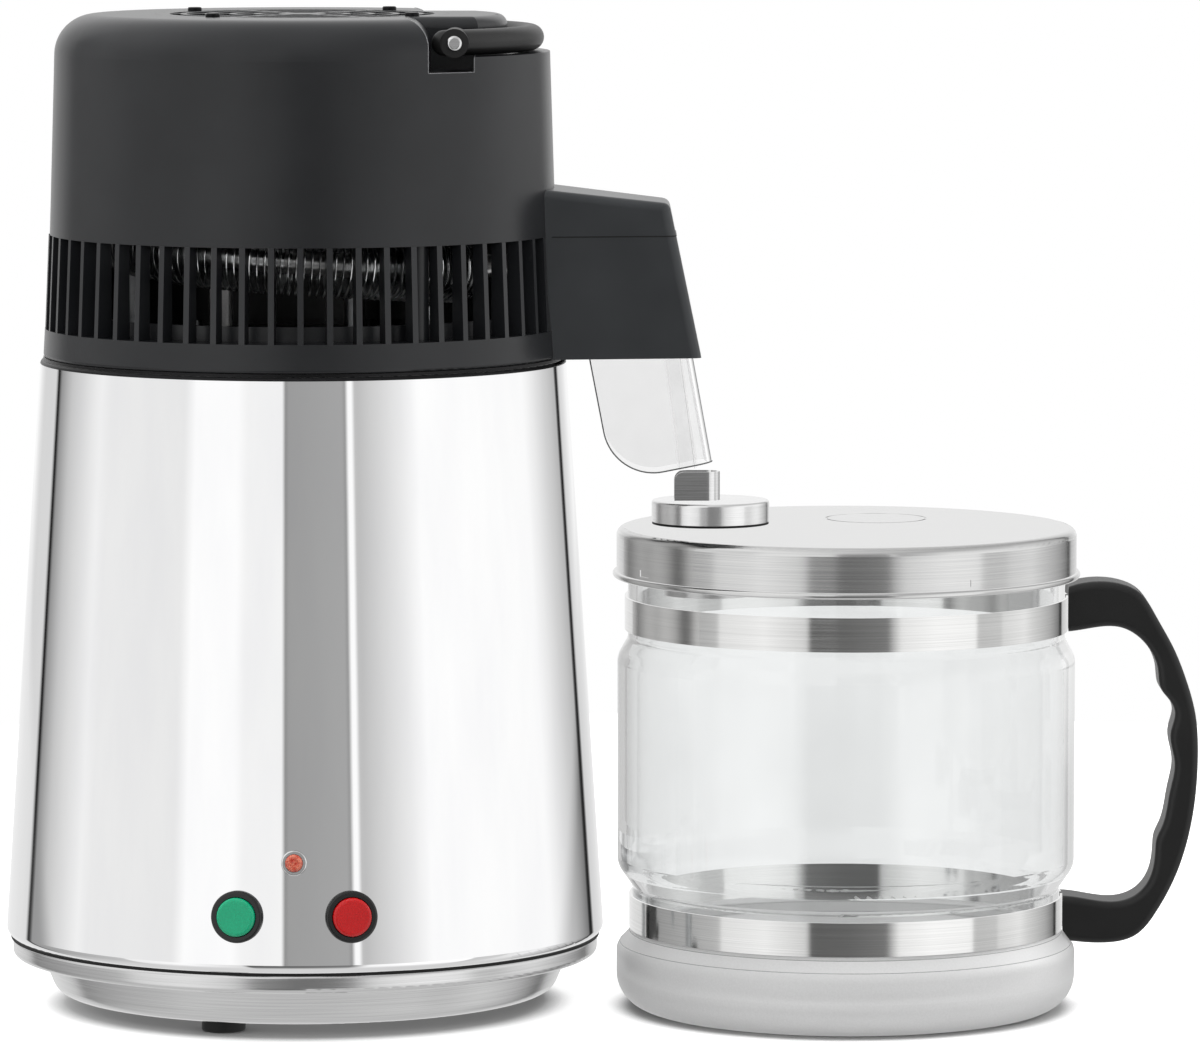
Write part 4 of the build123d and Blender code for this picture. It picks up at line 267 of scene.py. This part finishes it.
# the shell's mirror needs a true cone's normals, also round its holes, and true rounds at its ends
cone = {"inward": 14.0, "rise": 213.5, "near": 0.99, "roundNear": 0.8, "slack": 0.1,
        # each round's lowest and highest level, and its centre's reach and level
        "rounds": [(0.0, 29.69, 107.797, 29.5), (238.59, 300.0, 95.595, 238.5)]}
lean = math.atan2(cone["inward"], cone["rise"])
shellMesh = nodes["outer_shell"].data
corners = [Vector(corner.vector) for corner in shellMesh.corner_normals]
for face in shellMesh.polygons:
    rounds = [end for end in cone["rounds"] if end[0] < face.center.z / mm < end[1]]
    near = cone["roundNear"] if rounds else cone["near"]
    for loop in face.loop_indices:
        spot = shellMesh.vertices[shellMesh.loops[loop].vertex_index].co / mm
        out = Vector((spot.x - places["boilerX"], spot.y, 0))
        normal = out.normalized() * math.cos(lean) + Vector((0, 0, math.sin(lean)))
        if rounds:
            reach, level = rounds[0][2:]
            if out.length < reach - cone["slack"]:
                continue
            normal = out.normalized() * (out.length - reach) + Vector((0, 0, spot.z - level))
        if face.normal.dot(normal.normalized()) > near:
            corners[loop] = normal.normalized()
shellMesh.normals_split_custom_set(corners)

# painted shade: the rolled rim under the head and the edge of the pot's rim take near-black steel for the
# head's shade, and stay dark when the head is lifted
shaded = {"from": 238.55, "rimReach": 95.5, "upright": 0.5}


def isShadedRim(mesh, face, centre, normal):
    reach = math.hypot(centre.x - places["boilerX"], centre.y)
    return abs(normal.z) < shaded["upright"] and reach > shaded["rimReach"]


refinish("outer_shell", "blackedSteelAndPaintedShade", lambda mesh, face, centre, normal: centre.z > shaded["from"])
refinish("pot_rim", "blackedSteelAndPaintedShade", isShadedRim)

# painted highlight: the slats' outer edges are a shade lighter than the rest of the vent ring, for the light
# their fronts catch
slats = {"reach": 93.0, "low": 252.5, "high": 285.5, "facing": 0.6}


def isSlatEdge(mesh, face, centre, normal):
    out = Vector((centre.x - places["boilerX"], centre.y, 0))
    inVents = slats["low"] < centre.z < slats["high"] and out.length > slats["reach"]
    return inVents and normal.dot(out.normalized()) > slats["facing"]


refinish("lower_housing", "slatPaintedHighlightAbs", isSlatEdge)

# painted light: the arm takes a plastic a shade paler than the dome's, for the light it catches
arm = {"from": 96.0, "halfWidth": 27.0}


def isArm(mesh, face, centre, normal):
    return centre.x - places["boilerX"] > arm["from"] and abs(centre.y) < arm["halfWidth"]


for name in ("upper_housing", "lower_housing"):
    refinish(name, "armPaintedLightAbs", isArm)

# the lid is brushed straight across its top and round its skirt; the front half of the line pressed into it
# is darker grey, painted shade in the groove
lid = {"upright": 0.7, "lineX": 102.9, "lineY": 20.0, "lineReach": 19.6, "lineLow": 178.05,
       "lineHigh": 178.45}


def isSkirt(mesh, face, centre, normal):
    return abs(normal.z) < lid["upright"]


def isPressedLine(mesh, face, centre, normal):
    near = math.hypot(centre.x - lid["lineX"], centre.y - lid["lineY"]) < lid["lineReach"]
    return near and centre.y < lid["lineY"] and lid["lineLow"] < centre.z < lid["lineHigh"]


refinish("jar_lid", "brushedStainlessSkirt", isSkirt)
refinish("jar_lid", "pressedLineShadeSteel", isPressedLine)
print("finishes set on", sum(len(names) for names in finishes.values()), "nodes")

# condenser fins: thin pressed rings with a collar and a curled rim, closer than in the solids
fins = {"count": 200, "coilReach": 66.0, "startAngle": -90.0, "sweep": 420.0, "top": 307.0, "drop": 32.0,
        "steps": 28, "profile": [(4.4, -0.1), (4.4, 0.8), (4.8, 0.8), (4.8, 0.1), (11.9, 0.1), (12.45, 0.5),
                                 (12.45, 0.25), (12.0, -0.1)]}
fall = fins["drop"] / (math.radians(fins["sweep"]) * fins["coilReach"])
finMesh = bmesh.new()
for index in range(fins["count"]):
    share = (index + 0.5) / fins["count"]
    angle = math.radians(fins["startAngle"] + fins["sweep"] * share)
    outward = Vector((math.cos(angle), math.sin(angle), 0))
    along = Vector((-math.sin(angle), math.cos(angle), -fall)).normalized()
    upward = along.cross(outward) * -1
    level = fins["top"] - fins["drop"] * share
    centre = Vector((places["boilerX"], 0, level)) + outward * fins["coilReach"]
    rings = []
    for step in range(fins["steps"]):
        turn = fullTurn * step / fins["steps"]
        radial = outward * math.cos(turn) + upward * math.sin(turn)
        rings.append([finMesh.verts.new((centre + radial * reach + along * width) * mm)
                      for reach, width in fins["profile"]])
    for ring, after in zip(rings, rings[1:] + rings[:1]):
        for here in range(len(ring)):
            there = (here + 1) % len(ring)
            face = finMesh.faces.new((ring[here], after[here], after[there], ring[there]))
            face.smooth = True
        for here in range(len(ring)):
            finMesh.edges.get((ring[here], after[here])).smooth = False
finMesh.normal_update()
bmesh.ops.recalc_face_normals(finMesh, faces=finMesh.faces)
finData = bpy.data.meshes.new("finStack")
finMesh.to_mesh(finData)
finMesh.free()
finData.materials.append(materials["rolledAluminium"])
finStack = bpy.data.objects.new("finStack", finData)
scene.collection.objects.link(finStack)
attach(finStack, "head")
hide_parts("condenser_fins")
print("fins made:", fins["count"])


def thinLine(name, runs, radiusMm, finish, body):
    # a fine round line along runs of points in mm, for edges or a seam
    curve = bpy.data.curves.new(name, "CURVE")
    curve.dimensions = "3D"
    curve.bevel_depth, curve.bevel_resolution = radiusMm * mm, 1
    for points in runs:
        spline = curve.splines.new("POLY")
        spline.points.add(len(points) - 1)
        for place, point in zip(spline.points, points):
            place.co = [value * mm for value in point] + [1.0]
    curve.materials.append(materials[finish])
    line = bpy.data.objects.new(name, curve)
    line.visible_glossy = False
    scene.collection.objects.link(line)
    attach(line, body)


def quarterTurn(steps):
    return [math.radians(90 * step / steps) for step in range(steps + 1)]


# painted shade along the hood's cut edge, which looks dark in clear acrylic: a grey line down its left side,
# round the corner and along to the nose
hood = {"front": -12.9, "top": (105.7, 241.0), "corner": (129.25, 216.97), "round": 18.6, "from": 190.8,
        "to": 281.1, "steps": 20, "end": (144.9, 201.1), "nose": 6.0, "noseSteps": 6, "rise": 0.1978,
        "line": 0.3}
edge = [(hood["top"][0], hood["front"], hood["top"][1])]
for step in range(hood["steps"] + 1):
    angle = math.radians(hood["from"] + (hood["to"] - hood["from"]) * step / hood["steps"])
    edge.append((hood["corner"][0] + hood["round"] * math.cos(angle), hood["front"],
                 hood["corner"][1] + hood["round"] * math.sin(angle)))
for angle in quarterTurn(hood["noseSteps"]):
    ahead = hood["nose"] * math.sin(angle)
    edge.append((hood["end"][0] + ahead, hood["front"] + hood["nose"] * (1 - math.cos(angle)),
                 hood["end"][1] + ahead * hood["rise"]))
thinLine("hoodEdgeShade", [[(places["boilerX"] + reach, y, z) for reach, y, z in edge]], hood["line"],
         "acrylicEdgeShade", "head")

# the seam between the arm's halves shows as a fine dark line
seam = {"level": 286.0, "root": (92.0, 25.3), "tip": (133.6, 19.4), "nose": 4.0, "noseSteps": 6,
        "line": 0.22}
sideOn = [(seam["root"][0], -seam["root"][1]), (seam["tip"][0], -seam["tip"][1])]
for angle in quarterTurn(seam["noseSteps"])[1:]:
    sideOn.append((seam["tip"][0] + seam["nose"] * math.sin(angle),
                   -seam["tip"][1] + seam["nose"] * (1 - math.cos(angle))))
seamLine = sideOn + [(reach, -y) for reach, y in reversed(sideOn)]
thinLine("armSeam", [[(places["boilerX"] + reach, y, seam["level"]) for reach, y in seamLine]],
         seam["line"], "blackRubber", "head")

# the edges of the handle's recess carry a pale painted glint: each lies where the mesh of the dome has an
# open edge
recess = {"left": 48.0, "right": 64.3, "floor": 347.9, "ledge": 353.4, "flareFrom": 357.0,
          "flareReach": 37.75, "flareRound": 10.25, "near": 0.06, "lead": 8.1, "slack": 0.1, "lowest": 347.0,
          "innerReach": 70.0, "line": 0.2}
domeMesh = nodes["upper_housing"].data
faceCount = {}
for face in domeMesh.polygons:
    for key in face.edge_keys:
        faceCount[key] = faceCount.get(key, 0) + 1


def onRecess(point):
    reach, level = point.x - places["boilerX"], point.z
    between = recess["left"] - recess["lead"] < reach < recess["right"] + recess["slack"]
    if not between or level <= recess["lowest"] or math.hypot(reach, point.y) <= recess["innerReach"]:
        return False
    if level > recess["flareFrom"]:
        fromFlare = math.hypot(reach - recess["flareReach"], level - recess["flareFrom"])
        return abs(fromFlare - recess["flareRound"]) < recess["near"]
    atSide = abs(reach - recess["left"]) < recess["near"]
    atEnd = abs(reach - recess["right"]) < recess["near"] and level < recess["ledge"]
    return atSide or atEnd or abs(level - recess["floor"]) < recess["near"]


recessGlintEdges = []
for key, count in faceCount.items():
    ends = [domeMesh.vertices[index].co / mm for index in key]
    if count == 1 and all(onRecess(point) for point in ends):
        recessGlintEdges.append(ends)
thinLine("recessPaintedGlints", recessGlintEdges, recess["line"], "edgePaintedGlintAbs", "head")

# two fine grey lines round the foot's shoulder, below the steel band: painted shade for glass seen edge on
shoulder = {"at": [(83.55, 24.42), (79.95, 28.5)], "line": 0.12, "steps": 120}
turns = [fullTurn * step / shoulder["steps"] for step in range(shoulder["steps"] + 1)]
circles = [[(places["carafeX"] + reach * math.cos(turn), places["carafeY"] + reach * math.sin(turn), level)
            for turn in turns] for reach, level in shoulder["at"]]
thinLine("footShadeLines", circles, shoulder["line"], "glassEdgeShade", "carafe")
print("edge lines made, recess edges:", len(recessGlintEdges))

# the shell and the carafe's steel mirror the room and not each other
for name in ["glass_jar", "upper_band", "lower_band", "carafe_handle", "band_screws", "jar_lid",
             "lid_gasket", "filter_basket", "filter_cap", "filter_seal", "spout_guide", "charcoal_pod",
             "spout_shield", "outlet_tube", "outer_shell", "base_pan", "base_seal"]:
    nodes[name].visible_glossy = False

# stage: a white floor, in metres, that keeps a soft contact shade and fades into the white backdrop
floorLook = {"reach": 0.9, "sides": 64, "colour": "#b4b4b4", "rough": 0.9, "lift": 0.8, "fadeFrom": 0.3,
             "fadeTo": 0.55, "contact": 0.016, "contactSamples": 16, "open": (0.3, 0.7)}
floorMesh = bpy.data.meshes.new("floor")
turns = [fullTurn * side / floorLook["sides"] for side in range(floorLook["sides"])]
rim = [(floorLook["reach"] * math.cos(turn), floorLook["reach"] * math.sin(turn), 0) for turn in turns]
floorMesh.from_pydata(rim, [], [list(range(floorLook["sides"]))])
floor = bpy.data.objects.new("floor", floorMesh)
scene.collection.objects.link(floor)
floor.visible_glossy = False
floor.visible_transmission = False
# matt paper, lifted to white where it is seen, but not where something stands close above it
tree, inputs = newMaterial("whitePaper", {"Roughness": floorLook["rough"], "Specular IOR Level": 0.0,
                                          "Base Color": linear(floorLook["colour"]),
                                          "Emission Color": (1, 1, 1, 1)})
rays = addNode(tree, "ShaderNodeLightPath")
seen = addNode(tree, "ShaderNodeMath", operation="MAXIMUM",
               links={0: rays.outputs["Is Camera Ray"], 1: rays.outputs["Is Transmission Ray"]})
coords = addNode(tree, "ShaderNodeTexCoord")
fromMiddle = addNode(tree, "ShaderNodeVectorMath", links={0: coords.outputs["Object"]}, operation="LENGTH")
fade = addNode(tree, "ShaderNodeMapRange",
               {"From Min": floorLook["fadeFrom"], "From Max": floorLook["fadeTo"],
                "To Min": floorLook["lift"], "To Max": 1.0}, {"Value": fromMiddle.outputs["Value"]})
hidden = addNode(tree, "ShaderNodeAmbientOcclusion", {"Distance": floorLook["contact"]},
                 samples=floorLook["contactSamples"])
clear = addNode(tree, "ShaderNodeMapRange",
                {"From Min": floorLook["open"][0], "From Max": floorLook["open"][1]},
                {"Value": hidden.outputs["AO"]})
glow = addNode(tree, "ShaderNodeMath", links={0: seen.outputs[0], 1: fade.outputs["Result"]},
               operation="MULTIPLY")
addNode(tree, "ShaderNodeMath", links={0: glow.outputs[0], 1: clear.outputs["Result"]},
        feeds={0: inputs["Emission Strength"]}, operation="MULTIPLY")
floorMesh.materials.append(materials["whitePaper"])

# the white room: what polished metal mirrors is white boxes all round, with gaps and dark frames.
# Each list has (degrees round from the front towards the carafe, brightness); the leaning shell
# looks at its horizon, and upright bands and rims look a little below it. Heights are those of a
# ray of length 1, and overhead the left is lit most
room = {
    "fill": 0.6, "glow": 1.3, "bandsTo": -0.086, "shellFrom": -0.076,
    "tableTo": -0.8, "tableFade": -0.45, "table": 0.72,
    "overFrom": 0.3, "overTo": 0.75, "ceilingLeft": (-0.8, 1.2), "ceilingRight": (0.5, 0.6),
    "shell": [(-180, 0.98), (-165, 0.98), (-150, 0.72), (-134, 0.75), (-133, 0.02), (-130, 0.02),
              (-129, 0.3), (-118, 0.62), (-96, 0.98), (-90, 0.92), (-50, 0.9), (-45, 1.1), (-26, 1.1),
              (-22, 1.0), (-6.5, 1.0), (-6, 0.25), (-5, 0.37), (19, 0.42), (20, 0.3), (20.6, 1.1),
              (22.5, 1.1), (24, 0.55), (44, 0.92), (52, 1.1), (112, 1.08), (131, 0.7), (144, 0.5),
              (145, 0.02), (148.5, 0.02), (149.5, 0.7), (165, 0.98), (180, 0.98)],
    "bands": [(-180, 0.95), (-134, 0.8), (-133, 0.05), (-130, 0.05), (-128.5, 0.34), (-110, 0.42),
              (-78, 0.56), (-72, 0.62), (-71, 0.95), (-45, 1.1), (-22, 0.8), (-19.8, 0.13), (0, 0.16),
              (20, 0.22), (23, 0.6), (27, 1.05), (45, 1.2), (69, 1.15), (70.5, 0.64), (86, 0.7), (87, 0.85),
              (104, 1.0), (112, 0.8), (131, 0.5), (144, 0.2), (145, 0.02), (148.5, 0.02), (150, 0.7),
              (180, 0.95)],
}


def grey(level):
    # a brightness as a share of the room's glow
    return [level / room["glow"]] * 3 + [1]


scene.world = bpy.data.worlds.new("whiteRoom")
scene.world.use_nodes = True
tree = scene.world.node_tree
tree.nodes.clear()
rays = addNode(tree, "ShaderNodeLightPath")
seen = addNode(tree, "ShaderNodeMath", operation="MAXIMUM",
               links={0: rays.outputs["Is Camera Ray"], 1: rays.outputs["Is Transmission Ray"]})
coords = addNode(tree, "ShaderNodeTexCoord")
way = addNode(tree, "ShaderNodeSeparateXYZ", links={0: coords.outputs["Generated"]})
front = addNode(tree, "ShaderNodeMath", {1: -1.0}, {0: way.outputs["Y"]}, operation="MULTIPLY")
bearing = addNode(tree, "ShaderNodeMath", links={0: way.outputs["X"], 1: front.outputs[0]},
                  operation="ARCTAN2")
bearingShare = addNode(tree, "ShaderNodeMapRange", {"From Min": -math.pi, "From Max": math.pi},
                       {"Value": bearing.outputs[0]})
ramps = {}
for name in ("shell", "bands"):
    stops = [((degrees + 180) / 360, grey(level)) for degrees, level in room[name]]
    ramps[name] = addNode(tree, "ShaderNodeValToRGB", links={"Fac": bearingShare.outputs["Result"]},
                          stops=stops)
height = addNode(tree, "ShaderNodeMapRange", {"From Min": room["bandsTo"], "From Max": room["shellFrom"]},
                 {"Value": way.outputs["Z"]})
walls = addNode(tree, "ShaderNodeMixRGB",
                links={0: height.outputs["Result"], 1: ramps["bands"].outputs["Color"],
                       2: ramps["shell"].outputs["Color"]})
over = addNode(tree, "ShaderNodeMapRange", {"From Min": room["overFrom"], "From Max": room["overTo"]},
               {"Value": way.outputs["Z"]})
(leftX, leftLevel), (rightX, rightLevel) = room["ceilingLeft"], room["ceilingRight"]
ceiling = addNode(tree, "ShaderNodeMapRange",
                  {"From Min": leftX, "From Max": rightX, "To Min": leftLevel / room["glow"],
                   "To Max": rightLevel / room["glow"]}, {"Value": way.outputs["X"]})
lidded = addNode(tree, "ShaderNodeMixRGB", links={0: over.outputs["Result"], 1: walls.outputs["Color"],
                                                  2: ceiling.outputs["Result"]})
under = addNode(tree, "ShaderNodeMapRange", {"From Min": room["tableTo"], "From Max": room["tableFade"]},
                {"Value": way.outputs["Z"]})
whole = addNode(tree, "ShaderNodeMixRGB", {1: grey(room["table"])},
                {0: under.outputs["Result"], 2: lidded.outputs["Color"]})
plain = addNode(tree, "ShaderNodeBackground", {"Color": (1, 1, 1, 1), "Strength": room["fill"]})
white = addNode(tree, "ShaderNodeBackground", {"Color": (1, 1, 1, 1), "Strength": 1.0})
boxes = addNode(tree, "ShaderNodeBackground", {"Strength": room["glow"]}, {"Color": whole.outputs["Color"]})
glossy = addNode(tree, "ShaderNodeMixShader", links={0: rays.outputs["Is Glossy Ray"], 1: plain.outputs[0],
                                                     2: boxes.outputs[0]})
shown = addNode(tree, "ShaderNodeMixShader",
                links={0: seen.outputs[0], 1: glossy.outputs[0], 2: white.outputs[0]})
addNode(tree, "ShaderNodeOutputWorld", links={"Surface": shown.outputs[0]})

# soft boxes all aim at one point; mirrors show the room and not the boxes
aim = Vector((0, 0, 0.18))
lamps = {  # place and size in metres, watts
    "topBox": ((0.0, -0.3, 2.0), (1.6, 1.2), 24),
    "leftBox": ((-2.02, 0.5, 1.2), (1.6, 1.6), 40),
    "rightBox": ((2.02, 0.5, 1.2), (1.5, 1.6), 34),
    "frontBox": ((0.0, -2.6, 1.2), (1.6, 1.0), 24),
}
for name, (place, size, watts) in lamps.items():
    lampData = bpy.data.lights.new(name, "AREA")
    lampData.shape = "RECTANGLE"
    lampData.size, lampData.size_y = size
    lampData.energy = watts
    lamp = bpy.data.objects.new(name, lampData)
    lamp.location = place
    lamp.rotation_euler = (aim - Vector(place)).to_track_quat("-Z", "Y").to_euler()
    lamp.visible_glossy = False
    scene.collection.objects.link(lamp)

shot = {"lens": 240.0, "sensor": 36.0, "target": (0.0, 0.0, 0.1793), "distance": 2.963, "pitch": 5.43}
cameraData = bpy.data.cameras.new("camera")
cameraData.lens = shot["lens"]
cameraData.sensor_width = shot["sensor"]
camera = bpy.data.objects.new("camera", cameraData)
pitch = math.radians(shot["pitch"])
back = Vector((0, -math.cos(pitch), math.sin(pitch)))
camera.location = Vector(shot["target"]) + back * shot["distance"]
camera.rotation_euler = (-back).to_track_quat("-Z", "Y").to_euler()
scene.collection.objects.link(camera)
scene.camera = camera
print("stage set")
